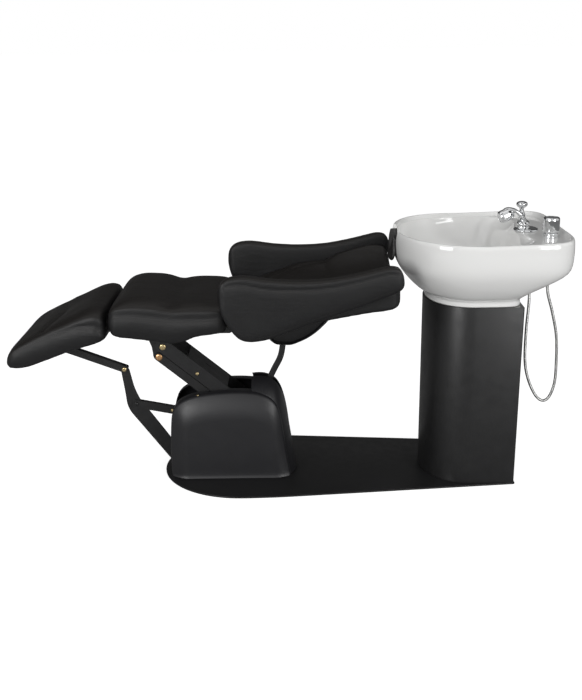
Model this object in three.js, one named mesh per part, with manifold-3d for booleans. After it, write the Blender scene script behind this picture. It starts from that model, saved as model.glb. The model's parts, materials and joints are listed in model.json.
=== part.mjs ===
// Salon backwash unit: a powered reclining chair and a ceramic shampoo basin that share one floor plate.
// Millimetres. +X runs from the chair to the basin, +Y to the sitter's right-hand side, +Z up.
// The origin is on the underside of the floor plate, on its centre line, midway along its length.
// The chair is drawn fully reclined. Most outlines are side views, given as [x, z] points.
import * as THREE from "three";
import { mergeVertices } from "three/addons/utils/BufferGeometryUtils.js";
import Module from "manifold-3d";

const wasm = await Module();
wasm.setup();

// ---------------------------------------------------------------- driving dimensions
const GAP = 0.3; // left between parts that rest on each other
const FIT = 0.5; // radial clearance of a pin in its hole

const PLATE = { halfLength: 645, halfWidth: 272, rearHalfWidth: 187, thickness: 6, nose: 300 };
const PEDESTAL = { front: 316, straight: 482, rear: 641, halfWidth: 187, top: 668, wall: 3 };
const BASIN = { front: 205, rear: 788, middle: 490, halfWidth: 300, rim: 912, wall: 13 };
const DECK = { front: 636, top: 897 };
const DRAIN = [500, 0]; // plan positions of the fittings, [x, y]
const TAP = [671, 0];
const SOCKET = [727, -120];
const COVER = { halfWidth: 118, wall: 3, lip: 14 }; // lip: how far the rim turns inwards
const NECK = { halfWidth: 70, depth: 84, apron: 72, hem: 804, inner: 226 }; // the trough and its rubber rest
const SEAT = { halfWidth: 236, skirt: 33, boardTop: 608 };
const WING = { inner: 244, outer: 296 };
const LEG = { halfWidth: 228, skirt: 28 };

// Pivots of the lift linkage, all on axes parallel to Y.
const UPPER_BASE = [-348, 271]; // upper arm on the base frame
const UPPER_SEAT = [-623, 504]; // upper arm on the seat frame
const LOWER_SEAT = [-640, 462]; // lower arms on the seat frame
const LOWER_BASE = [
  UPPER_BASE[0] + LOWER_SEAT[0] - UPPER_SEAT[0],
  UPPER_BASE[1] + LOWER_SEAT[1] - UPPER_SEAT[1],
]; // makes the two arms a parallelogram
const BACK_HINGE = [-345, 615];
const BACK_LINK_BASE = [-300, 205];
const BACK_LINK_TOP = [-188, 516];
const LEG_HINGE = [-808, 580];
const LEG_LINK_BASE = [-778, 401];
const LEG_LINK_TOP = [-1000, 488];
const STRUT_OUTER = [-743, 262];
const STRUT_INNER = [-609, 235];
const ACTUATOR_REAR = [-185, 50];
const CRANK = [-438, 208]; // the actuator's pin on the upper arm

// Half distances from the centre plane to each layer of plates.
const CHEEK = [38, 44]; // base frame cheeks
const BRACKET = [40, 46]; // seat frame bracket
const LOWER_BAR = [50, 56];
const CHANNEL = [61, 65];

// ---------------------------------------------------------------- materials
const finish = (color, roughness, metalness) =>
  new THREE.MeshStandardMaterial({ color, roughness, metalness });
const BLACK_STEEL = finish(0x1c1c1d, 0.5, 0.5);
const BLACK_PLASTIC = finish(0x24262a, 0.42, 0);
const GLOSS_PLASTIC = finish(0x111214, 0.18, 0);
const LEATHER = finish(0x1d1b1a, 0.55, 0);
const CERAMIC = finish(0xf3f3f1, 0.08, 0);
const RUBBER = finish(0x141414, 0.6, 0);
const CHROME = finish(0xd8dadc, 0.08, 1);
const ZINC = finish(0xb9a36b, 0.35, 1);
const STEEL = finish(0x9a9c9e, 0.3, 1);
const PLYWOOD = finish(0xb28a5a, 0.8, 0);
const GREY_PLASTIC = finish(0x6d7073, 0.5, 0);

// ---------------------------------------------------------------- geometry helpers
// A geometry with its shared vertices merged, as the boolean library needs it.
function bare(geometry) {
  const copy = geometry.clone();
  copy.deleteAttribute("normal");
  copy.deleteAttribute("uv");
  return mergeVertices(copy, 1e-4);
}

function solid(geometry) {
  const merged = bare(geometry);
  return new wasm.Manifold(
    new wasm.Mesh({
      numProp: 3,
      vertProperties: merged.attributes.position.array,
      triVerts: new Uint32Array(merged.index.array),
    }),
  );
}

function geometryOf(body) {
  const mesh = body.getMesh();
  const geometry = new THREE.BufferGeometry();
  geometry.setAttribute("position", new THREE.BufferAttribute(mesh.vertProperties, 3));
  geometry.setIndex(new THREE.BufferAttribute(mesh.triVerts, 1));
  return geometry;
}

const join = (...parts) => geometryOf(parts.map(solid).reduce((a, b) => a.add(b)));
const cut = (part, ...tools) =>
  geometryOf(tools.map(solid).reduce((a, b) => a.subtract(b), solid(part)));

// An outline whose corners are rounded to a radius, one radius for all or one per point.
function rounded(points, radius) {
  const shape = new THREE.Shape();
  const count = points.length;
  for (let i = 0; i < count; i++) {
    const here = new THREE.Vector2(...points[i]);
    const before = new THREE.Vector2(...points[(i + count - 1) % count]).sub(here);
    const after = new THREE.Vector2(...points[(i + 1) % count]).sub(here);
    const wanted = Array.isArray(radius) ? radius[i] : radius;
    const reach = Math.min(wanted, before.length() / 2.01, after.length() / 2.01);
    const start = here.clone().addScaledVector(before.normalize(), reach);
    const end = here.clone().addScaledVector(after.normalize(), reach);
    if (i === 0) shape.moveTo(start.x, start.y);
    else shape.lineTo(start.x, start.y);
    if (reach > 0) shape.quadraticCurveTo(here.x, here.y, end.x, end.y);
  }
  shape.closePath();
  return shape;
}

// The outline of a flat bar with round ends, between two points.
function bar([x1, z1], [x2, z2], radius) {
  const angle = Math.atan2(z2 - z1, x2 - x1);
  const quarter = Math.PI / 2;
  const shape = new THREE.Shape();
  shape.absarc(x1, z1, radius, angle + quarter, angle + 3 * quarter, false);
  shape.absarc(x2, z2, radius, angle - quarter, angle + quarter, false);
  shape.closePath();
  return shape;
}

const circle = (x, z, radius) => new THREE.Shape().absarc(x, z, radius, 0, 2 * Math.PI, false);

// A side-view outline given thickness along Y.
const sideSlab = (shape, yLow, yHigh, curveSegments = 2) =>
  new THREE.ExtrudeGeometry(shape, { depth: yHigh - yLow, bevelEnabled: false, curveSegments })
    .rotateX(Math.PI / 2)
    .translate(0, yHigh, 0);

// A plan-view outline given thickness along Z.
const planSlab = (shape, zLow, zHigh, curveSegments = 6) =>
  new THREE.ExtrudeGeometry(shape, {
    depth: zHigh - zLow,
    bevelEnabled: false,
    curveSegments,
  }).translate(0, 0, zLow);

const box = (xLow, xHigh, yLow, yHigh, zLow, zHigh) =>
  new THREE.BoxGeometry(xHigh - xLow, yHigh - yLow, zHigh - zLow).translate(
    (xLow + xHigh) / 2,
    (yLow + yHigh) / 2,
    (zLow + zHigh) / 2,
  );

// A round bar along Y.
const pin = ([x, z], radius, yLow, yHigh, segments = 12) =>
  new THREE.CylinderGeometry(radius, radius, yHigh - yLow, segments).translate(
    x,
    (yLow + yHigh) / 2,
    z,
  );

// A hole through every plate of a part, for a pin of the given radius.
const hole = (centre, radius) => pin(centre, radius + FIT, -400, 400);

// A pin with a flat head on one or both ends.
const headed = (centre, radius, yLow, yHigh, head, heads) =>
  join(
    pin(centre, radius, yLow, yHigh),
    ...heads.map((end) =>
      end < 0
        ? pin(centre, head, yLow - 0.1, yLow + 4, 6)
        : pin(centre, head, yHigh - 4, yHigh + 0.1, 6),
    ),
  );

// A round bar between two points in space.
function rod(from, to, radius, segments = 16) {
  const start = new THREE.Vector3(...from);
  const span = new THREE.Vector3(...to).sub(start);
  const turn = new THREE.Quaternion().setFromUnitVectors(
    new THREE.Vector3(0, 1, 0),
    span.clone().normalize(),
  );
  return new THREE.CylinderGeometry(radius, radius, span.length(), segments)
    .applyQuaternion(turn)
    .translate(...start.addScaledVector(span, 0.5).toArray());
}

// A turned body about a vertical axis, from [radius, z] points that start and end on the axis.
const turned = (profile, x, y, segments = 18) =>
  new THREE.LatheGeometry(
    profile.map(([radius, z]) => new THREE.Vector2(radius, z)),
    segments,
  )
    .rotateX(Math.PI / 2)
    .translate(x, y, 0);

// A tube or round wire along a smooth path.
function pipe(points, radius, steps, segments = 10) {
  const path = new THREE.CatmullRomCurve3(points.map((p) => new THREE.Vector3(...p)));
  return new THREE.ExtrudeGeometry(circle(0, 0, radius), {
    steps,
    extrudePath: path,
    curveSegments: segments,
  });
}

// A closed skin over rings that all have the same number of points, bottom ring first.
function loft(rings) {
  const count = rings[0].length;
  const positions = rings.flat(2);
  const faces = [];
  for (let level = 0; level < rings.length - 1; level++)
    for (let i = 0; i < count; i++) {
      const a = level * count + i;
      const b = level * count + ((i + 1) % count);
      faces.push(a, b, b + count, a, b + count, a + count);
    }
  for (const [level, down] of [[0, true], [rings.length - 1, false]]) {
    const centre = positions.length / 3;
    const ring = rings[level];
    positions.push(
      ...[0, 1, 2].map((axis) => ring.reduce((sum, p) => sum + p[axis], 0) / count),
    );
    for (let i = 0; i < count; i++) {
      const a = level * count + i;
      const b = level * count + ((i + 1) % count);
      if (down) faces.push(centre, b, a);
      else faces.push(centre, a, b);
    }
  }
  const geometry = new THREE.BufferGeometry();
  geometry.setAttribute("position", new THREE.Float32BufferAttribute(positions, 3));
  geometry.setIndex(faces);
  return geometry;
}

const backwash = new THREE.Group();
function add(name, geometry, material) {
  const mesh = new THREE.Mesh(geometry, material);
  mesh.name = name;
  backwash.add(mesh);
}

// ---------------------------------------------------------------- floor plate and base frame
function floorPlate() {
  const { halfLength, halfWidth, rearHalfWidth, thickness, nose } = PLATE;
  const wide = nose - halfLength; // x of the widest section
  const bend = 96; // length of the curve that leads into the straight taper, each side of its corner
  const slope = (halfWidth - rearHalfWidth) / (halfLength - wide - bend);
  const shape = new THREE.Shape();
  shape.moveTo(halfLength, -rearHalfWidth);
  shape.lineTo(halfLength, rearHalfWidth);
  shape.lineTo(wide + 2 * bend, halfWidth - slope * bend);
  shape.quadraticCurveTo(wide + bend, halfWidth, wide, halfWidth);
  shape.absellipse(wide, 0, nose, halfWidth, Math.PI / 2, 1.5 * Math.PI, false, 0);
  shape.quadraticCurveTo(wide + bend, -halfWidth, wide + 2 * bend, slope * bend - halfWidth);
  shape.closePath();
  return planSlab(shape, 0, thickness, 20);
}

function liftFrame() {
  const floor = PLATE.thickness + GAP;
  const footTop = floor + 6;
  const foot = box(-612, -165, -60, 60, floor, footTop);
  const cheek = rounded(
    [
      [-392, floor], [-388, 222], [-372, 262], [-362, 293], [-334, 293], [-282, 222], [-262, 120],
      [-235, floor],
    ],
    12,
  );
  // Carries the inner end of the leg rest strut.
  const upright = rounded(
    [
      [-530, floor], [-492, floor], [-500, 205], [-530, 232], [-609, 247], [-621, 235], [-609, 223],
      [-538, 205],
    ],
    [0, 0, 20, 20, 8, 8, 8, 20],
  );
  const rearLug = rounded([[-212, floor], [-160, floor], [-171, 64], [-199, 64]], 10);
  return cut(
    join(
      foot,
      sideSlab(cheek, CHEEK[0], CHEEK[1]),
      sideSlab(cheek, -CHEEK[1], -CHEEK[0]),
      sideSlab(upright, -4, 4),
      sideSlab(rearLug, 14, 20),
      sideSlab(rearLug, -20, -14),
      box(-300, -276, -CHEEK[1], CHEEK[1], floor, 30),
    ),
    hole(UPPER_BASE, 9),
    hole(LOWER_BASE, 8),
    hole(BACK_LINK_BASE, 7),
    hole(ACTUATOR_REAR, 6),
    hole(STRUT_INNER, 4),
  );
}

add("floor_plate", floorPlate(), BLACK_STEEL);
add("lift_frame", liftFrame(), BLACK_STEEL);
add("upper_arm_shaft", headed(UPPER_BASE, 9, -70, 70, 14, [-1, 1]), ZINC);
add("back_link_shaft", headed(BACK_LINK_BASE, 7, -49, 49, 11, [-1, 1]), ZINC);
add("actuator_rear_pin", headed(ACTUATOR_REAR, 6, -25, 25, 10, [-1, 1]), ZINC);
add("lower_arm_pin_left", headed(LOWER_BASE, 8, -60.4, -33, 12, [-1, 1]), ZINC);
add("lower_arm_pin_right", headed(LOWER_BASE, 8, 33, 60.4, 12, [-1, 1]), ZINC);
add("control_box", box(-330, -200, 62, 100, PLATE.thickness + GAP, 92), GREY_PLASTIC);

// ---------------------------------------------------------------- lift arms
const along = new THREE.Vector2(
  UPPER_SEAT[0] - UPPER_BASE[0],
  UPPER_SEAT[1] - UPPER_BASE[1],
).normalize();
const across = new THREE.Vector2(-along.y, along.x).negate(); // points up out of the channel
// A point given by its distance along the upper arm and its height above the arm's centre line.
const onArm = (distance, height) => [
  UPPER_BASE[0] + along.x * distance + across.x * height,
  UPPER_BASE[1] + along.y * distance + across.y * height,
];
// The two arms are as deep as leaves a 5 mm slit between them.
const LOWER_ARM_HALF = 15.5;
const ARM_TOP = 28;
const ARM_BOTTOM = -22.5;
const ARM_END = 388;
const WEB = [86, 268]; // the channel is closed on top between these distances
const CROSS_BOLT = onArm(202, -2);

function liftChannel() {
  const [inner, outer] = CHANNEL;
  const side = rounded(
    [onArm(-30, ARM_BOTTOM), onArm(-30, ARM_TOP), onArm(ARM_END, ARM_TOP), onArm(ARM_END, ARM_BOTTOM)],
    [24, 24, 14, 24],
  );
  const crank = bar(UPPER_BASE, CRANK, 16);
  const web = rounded(
    [onArm(WEB[0], ARM_TOP - 4), onArm(WEB[0], ARM_TOP), onArm(WEB[1], ARM_TOP), onArm(WEB[1], ARM_TOP - 4)],
    0,
  );
  const slot = rounded(
    [onArm(171, 0), onArm(171, 40), onArm(191, 40), onArm(191, 0)],
    0,
  );
  const plates = [[inner, outer], [-outer, -inner]].flatMap(([low, high]) => [
    sideSlab(side, low, high, 8),
    sideSlab(crank, low, high, 8),
  ]);
  return cut(
    join(...plates, sideSlab(web, -outer, outer)),
    sideSlab(slot, -3, 3),
    hole(UPPER_BASE, 9),
    hole(UPPER_SEAT, 8),
    hole(CRANK, 6),
    hole(CROSS_BOLT, 4),
  );
}

const lowerArm = (yLow, yHigh) =>
  cut(
    sideSlab(bar(LOWER_BASE, LOWER_SEAT, LOWER_ARM_HALF), yLow, yHigh, 12),
    hole(LOWER_BASE, 8),
    hole(LOWER_SEAT, 9),
  );

add("lift_channel", liftChannel(), BLACK_STEEL);
add("lower_arm_left", lowerArm(-LOWER_BAR[1], -LOWER_BAR[0]), BLACK_STEEL);
add("lower_arm_right", lowerArm(LOWER_BAR[0], LOWER_BAR[1]), BLACK_STEEL);
add("channel_cross_bolt", headed(CROSS_BOLT, 4, -69.4, 69.4, 7, [-1, 1]), ZINC);
add("seat_upper_shaft", headed(UPPER_SEAT, 8, -70.4, 70.4, 12, [-1, 1]), ZINC);
add("seat_lower_shaft", headed(LOWER_SEAT, 9, -60.6, 60.6, 13, [-1, 1]), ZINC);
add("crank_pin", headed(CRANK, 6, -69.4, 69.4, 10, [-1, 1]), ZINC);

// ---------------------------------------------------------------- linear actuator
const stroke = new THREE.Vector2(CRANK[0] - ACTUATOR_REAR[0], CRANK[1] - ACTUATOR_REAR[1]);
const ACTUATOR_LENGTH = stroke.length();
stroke.normalize();
// A point at a distance along the actuator and to the side of its axis, below it when negative.
const onActuator = (distance, side = 0) => [
  ACTUATOR_REAR[0] + stroke.x * distance + stroke.y * side,
  0,
  ACTUATOR_REAR[1] + stroke.y * distance - stroke.x * side,
];

function actuatorHousing() {
  const bore = rod(onActuator(96), onActuator(260), 11);
  const gearbox = rounded(
    [onActuator(24, 24), onActuator(24, -54), onActuator(58, -54), onActuator(58, 24)].map(
      ([x, , z]) => [x, z],
    ),
    10,
  );
  return cut(
    join(
      rod(onActuator(30), onActuator(228), 19),
      rod(onActuator(50, -35), onActuator(150, -35), 18),
      sideSlab(gearbox, -24, 24),
      sideSlab(bar(ACTUATOR_REAR, [onActuator(40)[0], onActuator(40)[2]], 14), -11, 11),
    ),
    bore,
    hole(ACTUATOR_REAR, 6),
  );
}

const actuatorRod = () =>
  cut(
    join(
      rod(onActuator(150), onActuator(ACTUATOR_LENGTH - 8), 10),
      sideSlab(circle(CRANK[0], CRANK[1], 16), -9, 9, 12),
    ),
    pin(CRANK, 9, -20, 20),
  );

add("actuator_housing", actuatorHousing(), GREY_PLASTIC);
add("actuator_rod", actuatorRod(), STEEL);

// ---------------------------------------------------------------- leg rest linkage
// A U channel, open below, along the line between two pivots.
function linkChannel(from, to, halfWidth, depth, reach, wall = 3) {
  const direction = new THREE.Vector2(to[0] - from[0], to[1] - from[1]).normalize();
  const up = new THREE.Vector2(-direction.y, direction.x);
  if (up.y < 0) up.negate();
  const at = ([x, z], distance, height) => [
    x + direction.x * distance + up.x * height,
    z + direction.y * distance + up.y * height,
  ];
  const outer = rounded(
    [
      at(from, -reach, -depth / 2),
      at(from, -reach, depth / 2),
      at(to, reach, depth / 2),
      at(to, reach, -depth / 2),
    ],
    8,
  );
  const inside = rounded(
    [
      at(from, -reach - 20, -depth),
      at(from, -reach - 20, depth / 2 - wall),
      at(to, reach + 20, depth / 2 - wall),
      at(to, reach + 20, -depth),
    ],
    0,
  );
  return cut(
    sideSlab(outer, -halfWidth, halfWidth, 6),
    sideSlab(inside, wall - halfWidth, halfWidth - wall),
  );
}

// The bent post that stands on the frame and reaches forward to the leg rest link.
function legrestPost() {
  const shape = rounded(
    [
      [-610, 13], [-556, 13], [-625, 125], [-700, 236], [-727, 272], [-747, 321],
      [-762, 398], [-778, 415], [-793, 401], [-782, 309], [-777, 244],
    ],
    [3, 3, 20, 20, 20, 20, 9, 12, 9, 30, 30],
  );
  return cut(sideSlab(shape, -4, 4, 6), hole(LEG_LINK_BASE, 6), hole(STRUT_OUTER, 5));
}

add("legrest_post", legrestPost(), BLACK_STEEL);
add(
  "legrest_strut",
  cut(
    linkChannel(STRUT_OUTER, STRUT_INNER, 9, 30, 14),
    hole(STRUT_OUTER, 5),
    hole(STRUT_INNER, 4),
    // lets the post through the top of the channel
    box(-770, -718, -4.6, 4.6, 255, 300),
  ),
  BLACK_STEEL,
);
add("strut_outer_bolt", headed(STRUT_OUTER, 5, -13.4, 13.4, 8, [-1, 1]), BLACK_STEEL);
add("strut_inner_bolt", headed(STRUT_INNER, 4, -13.4, 13.4, 6.5, [-1, 1]), ZINC);
add("leg_link_lower_pin", headed(LEG_LINK_BASE, 6, -16.4, 16.4, 9, [-1, 1]), ZINC);
add(
  "leg_link",
  cut(
    linkChannel(LEG_LINK_BASE, LEG_LINK_TOP, 12, 26, 12),
    hole(LEG_LINK_BASE, 6),
    hole(LEG_LINK_TOP, 5),
    // clears the post's top when the link swings down
    pin(LEG_LINK_BASE, 19, -8.9, 8.9),
    // clears the lug of the leg rest
    box(-1030, -950, -5, 5, 470, 520),
  ),
  BLACK_STEEL,
);
add("leg_link_upper_pin", headed(LEG_LINK_TOP, 5, -16.4, 16.4, 8, [-1, 1]), ZINC);

// ---------------------------------------------------------------- mechanism cover
// Half of the cover's side outline, from the floor at the front over the top to the floor at the rear.
const COVER_OUTLINE = [
  [-612, 6.3], [-610, 110], [-603, 225], [-588, 285], [-535, 316], [-450, 330], [-370, 334],
  [-290, 330], [-236, 312], [-211, 270], [-198, 190], [-184, 100], [-170, 6.3],
];

function coverSide(sign) {
  const { halfWidth, wall, lip } = COVER;
  const corners = [2, 60, 40, 40, 60, 90, 90, 60, 40, 40, 60, 60, 2];
  const outline = rounded(COVER_OUTLINE, corners);
  const span = (low, high) => (sign > 0 ? [low, high] : [-high, -low]);
  const inner = rounded(
    COVER_OUTLINE.map(([x, z]) => [
      -391 + (x + 391) * 0.986,
      z < 10 ? z - 10 : z - wall,
    ]),
    corners,
  );
  return cut(
    sideSlab(outline, ...span(halfWidth - wall - lip, halfWidth), 3),
    sideSlab(inner, ...span(halfWidth - 60, halfWidth - wall), 3),
  );
}

// The wall between the side covers at the rear, curved over the top of the mechanism.
function coverRear() {
  const { halfWidth, wall, lip } = COVER;
  const half = halfWidth - wall - lip - GAP;
  const outer = [
    [-330, 358], [-262, 352], [-216, 318], [-192, 262], [-178, 180], [-163, 80], [-150, 6.3],
  ];
  const inner = outer.map(([x, z]) => [x - wall - 1, Math.max(z - wall, 6.3)]).reverse();
  const shell = sideSlab(
    rounded([...outer, ...inner], [0, 30, 30, 30, 40, 40, 0, 0, 40, 40, 30, 30, 30, 0]),
    -half,
    half,
  );
  // the slot that the back link swings in
  return cut(shell, box(-400, -204, -17, 17, 280, 400));
}

add("cover_left", coverSide(-1), BLACK_PLASTIC);
add("cover_right", coverSide(1), BLACK_PLASTIC);
add("cover_rear", coverRear(), BLACK_PLASTIC);

// ---------------------------------------------------------------- seat
// Lower edge of the side skirt, then over the front and along the seating surface.
const SEAT_OUTLINE = [
  [-770, 597], [-700, 587], [-620, 577], [-562, 568], [-520, 576], [-483, 592], [-420, 601],
  [-380, 606], [-386, 684], [-440, 684], [-500, 694], [-570, 704], [-650, 714], [-715, 712],
  [-762, 692], [-785, 655], [-781, 620],
];

function seatCushion() {
  const { halfWidth, skirt, boardTop } = SEAT;
  const board = halfWidth - skirt;
  return cut(
    sideSlab(rounded(SEAT_OUTLINE, 30), -halfWidth, halfWidth, 3),
    box(-900, -300, -board, board, 500, boardTop + GAP),
  );
}

function seatFrame() {
  const top = SEAT.boardTop - 10 - GAP;
  const low = top - 24;
  const rail = 130;
  const rails = [-1, 1].map((side) =>
    box(-765, -372, side > 0 ? rail - 22 : -rail, side > 0 ? rail : 22 - rail, low, top),
  );
  const crossBars = [[-765, -741], [-700, -676], [-586, -562], [-396, -372]].map(([from, to]) =>
    box(from, to, -rail, rail, low, top),
  );
  // Plates that hang down to the two arm pivots.
  const bracket = rounded(
    [
      [-700, low + 2], [-562, low + 2], [-584, 540], [-600, 492], [-618, 448], [-645, 442],
      [-662, 455], [-664, 500],
    ],
    [0, 0, 20, 20, 14, 14, 10, 30],
  );
  const backLug = rounded(
    [[-400, low], [-372, low], [-331, 602], [-331, 628], [-356, 630], [-376, 605], [-400, top]],
    [0, 10, 10, 10, 12, 4, 0],
  );
  const legLug = rounded(
    [[-741, low], [-741, top], [-800, 594], [-818, 590], [-818, 570], [-800, 566]],
    [0, 0, 8, 8, 8, 8],
  );
  const mirrored = (shape, yLow, yHigh) => [
    sideSlab(shape, yLow, yHigh),
    sideSlab(shape, -yHigh, -yLow),
  ];
  return cut(
    join(
      ...rails,
      ...crossBars,
      ...mirrored(bracket, ...BRACKET),
      ...mirrored(backLug, rail - 6, rail),
      ...mirrored(legLug, 60, 66),
    ),
    hole(UPPER_SEAT, 8),
    hole(LOWER_SEAT, 9),
    hole(BACK_HINGE, 7),
    hole(LEG_HINGE, 6),
  );
}

const board = SEAT.halfWidth - SEAT.skirt - GAP;
add("seat_frame", seatFrame(), BLACK_STEEL);
add("seat_board", box(-768, -404, -board, board, SEAT.boardTop - 10, SEAT.boardTop), PLYWOOD);
add("seat_cushion", seatCushion(), LEATHER);
add("back_hinge_rod", headed(BACK_HINGE, 7, -146, 146, 11, [-1, 1]), ZINC);
add("leg_hinge_rod", headed(LEG_HINGE, 6, -82, 82, 10, [-1, 1]), ZINC);

// ---------------------------------------------------------------- leg rest
const LEG_UNDERSIDE = [[-1128, 484], [-1092, 486], [-1013, 512], [-914, 546], [-845, 566], [-800, 580]];
const LEG_OUTLINE = [
  ...LEG_UNDERSIDE,
  [-793, 622], [-791, 662], [-806, 680], [-858, 674], [-944, 638], [-1030, 598], [-1090, 560],
  [-1142, 528], [-1150, 500],
];

function legCushion() {
  const { halfWidth, skirt } = LEG;
  const recess = [
    ...LEG_UNDERSIDE.slice(1).map(([x, z]) => [x, z + 16]),
    [-780, 600], [-780, 500], [-1083, 430],
  ];
  return cut(
    sideSlab(rounded(LEG_OUTLINE, 26), -halfWidth, halfWidth, 3),
    sideSlab(rounded(recess, 0), skirt - halfWidth, halfWidth - skirt),
  );
}

function legFrame() {
  const slope = (580 - 512) / (-800 + 1013);
  const under = (x, height) => [x, 512 + (x + 1013) * slope + height];
  const rail = rounded([under(-1075, 0), under(-805, 0), under(-805, 10), under(-1075, 10)], 0);
  const railsAt = [100, -120].map((y) => sideSlab(rail, y, y + 20));
  const crossBars = [[-1075, -1050], [-1012, -988], [-872, -848]].map(([from, to]) =>
    sideSlab(rounded([under(from, 0), under(to, 0), under(to, 10), under(from, 10)], 0), -120, 120),
  );
  const hingeLug = rounded(
    [
      [-868, 560], [-850, 556], [-808, 566], [-794, 574], [-795, 589], [-816, 592], [-840, 576],
      [-868, 569],
    ],
    [2, 2, 8, 8, 8, 8, 8, 2],
  );
  const linkLug = rounded(
    [under(-1018, 4), under(-982, 4), [-979, 488], [-990, 467], [-1010, 467], [-1021, 488]],
    [0, 0, 12, 12, 12, 12],
  );
  return cut(
    join(
      ...railsAt,
      ...crossBars,
      sideSlab(hingeLug, 70, 76),
      sideSlab(hingeLug, -76, -70),
      sideSlab(linkLug, -4, 4),
    ),
    hole(LEG_HINGE, 6),
    // wide, because the link is opened at this pivot
    pin(LEG_LINK_TOP, 16, -20, 20),
  );
}

add("leg_frame", legFrame(), BLACK_STEEL);
add("leg_cushion", legCushion(), LEATHER);

// ---------------------------------------------------------------- backrest
const BACK_SURFACE = [[-322, 664], [-200, 688], [-100, 702], [0, 714], [100, 729], [180, 742], [208, 738]];
const BACK_UNDERSIDE = [
  [212, 700], [190, 682], [100, 669], [0, 652], [-100, 634], [-200, 618], [-298, 604], [-316, 624],
];
const WING_OUTLINE = [
  [-402, 735], [-400, 775], [-380, 802], [-340, 815], [-300, 813], [-235, 802], [-127, 797],
  [-30, 800], [84, 820], [172, 842], [198, 833], [216, 805], [221, 776], [208, 757], [150, 735],
  [2, 680], [-101, 645], [-243, 594], [-290, 588], [-325, 594], [-350, 615], [-384, 672],
];

// The bolsters along both sides, which rise towards the wings.
const BOLSTER_TOP = [[-318, 668], [-200, 716], [0, 764], [120, 800], [190, 800], [210, 770]];
const BOLSTER_WIDTH = 40;

function backCushion() {
  const half = WING.inner - 1;
  const centre = rounded([...BACK_SURFACE, ...BACK_UNDERSIDE], 22);
  const bolster = rounded([...BOLSTER_TOP, [208, 700], [0, 670], [-300, 620]], 14);
  return join(
    sideSlab(centre, -half, half, 3),
    sideSlab(bolster, half - BOLSTER_WIDTH, half),
    sideSlab(bolster, -half, BOLSTER_WIDTH - half),
  );
}

const wing = (yLow, yHigh) => sideSlab(rounded(WING_OUTLINE, 24), yLow, yHigh, 3);

function backFrame() {
  const slope = (669 - 602) / 400;
  const under = (x, height) => [x, 600 + (x + 300) * slope + height];
  const rail = rounded([under(-318, -16), under(170, -16), under(170, 0), under(-318, 0)], 0);
  const rails = [90, -110].map((y) => sideSlab(rail, y, y + 20));
  const crossBars = [[-318, -296], [-200, -176], [20, 44], [146, 170]].map(([from, to]) =>
    sideSlab(rounded([under(from, -16), under(to, -16), under(to, 0), under(from, 0)], 0), -140, 140),
  );
  const hingeLug = rounded(
    [
      [-297, 583], [-297, 598], [-326, 604], [-330, 628], [-345, 632], [-361, 624], [-360, 604],
      [-336, 588],
    ],
    [2, 2, 6, 8, 10, 10, 10, 8],
  );
  const linkLug = rounded(
    [under(-202, -8), under(-174, -8), [-172, 510], [-180, 498], [-196, 498], [-204, 510]],
    [0, 0, 8, 10, 10, 8],
  );
  const mirrored = (shape, yLow, yHigh) => [
    sideSlab(shape, yLow, yHigh),
    sideSlab(shape, -yHigh, -yLow),
  ];
  return cut(
    join(
      ...rails,
      ...crossBars,
      ...mirrored(hingeLug, 134, 140),
      ...mirrored(linkLug, 8, 12),
    ),
    hole(BACK_HINGE, 7),
    // wide, because the link is opened at this pivot
    pin(BACK_LINK_TOP, 12, -20, 20),
  );
}

// The tub under the lumbar region that hides the end of the back link.
function backShell() {
  const wall = 4;
  const halfWidth = 132;
  const bottom = [
    [-266, 584], [-250, 545], [-232, 522], [-205, 513], [-168, 513], [-128, 526], [-88, 546],
    [-48, 577], [-12, 618], [0, 634],
  ];
  const inner = bottom.map(([x, z]) => [x * 0.97 - 4, z + wall]);
  const shape = rounded([...bottom, [-150, 609]], 14);
  const inside = rounded([...inner, [-100, 700], [-266, 700]], 8);
  return cut(
    sideSlab(shape, -halfWidth, halfWidth, 3),
    sideSlab(inside, wall - halfWidth, halfWidth - wall, 3),
    box(-236, -140, -18, 18, 480, 540),
  );
}

// The curved bar that pushes the backrest up as the seat drops.
function backLink() {
  const curve = new THREE.CatmullRomCurve3(
    [BACK_LINK_BASE, [-268, 300], [-228, 386], [-200, 444], BACK_LINK_TOP].map(
      ([x, z]) => new THREE.Vector3(x, z, 0),
    ),
  );
  const half = 11;
  const sides = [-1, 1].map((side) =>
    curve.getPoints(12).map((point, index) => {
      const tangent = curve.getTangent(index / 12);
      return [point.x - side * tangent.y * half, point.y + side * tangent.x * half];
    }),
  );
  const strip = rounded([...sides[0], ...sides[1].reverse()], 0);
  return cut(
    join(
      sideSlab(strip, -5, 5),
      sideSlab(circle(...BACK_LINK_BASE, 14), -12, 12, 10),
      sideSlab(circle(...BACK_LINK_TOP, half), -5, 5, 10),
    ),
    hole(BACK_LINK_BASE, 7),
    hole(BACK_LINK_TOP, 5),
  );
}

add("back_frame", backFrame(), BLACK_STEEL);
add("back_cushion", backCushion(), LEATHER);
add("wing_left", wing(-WING.outer, -WING.inner), LEATHER);
add("wing_right", wing(WING.inner, WING.outer), LEATHER);
add("back_shell", backShell(), GLOSS_PLASTIC);
add("back_link", backLink(), BLACK_STEEL);
add("back_link_upper_pin", headed(BACK_LINK_TOP, 5, -16, 16, 8, []), ZINC);

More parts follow.
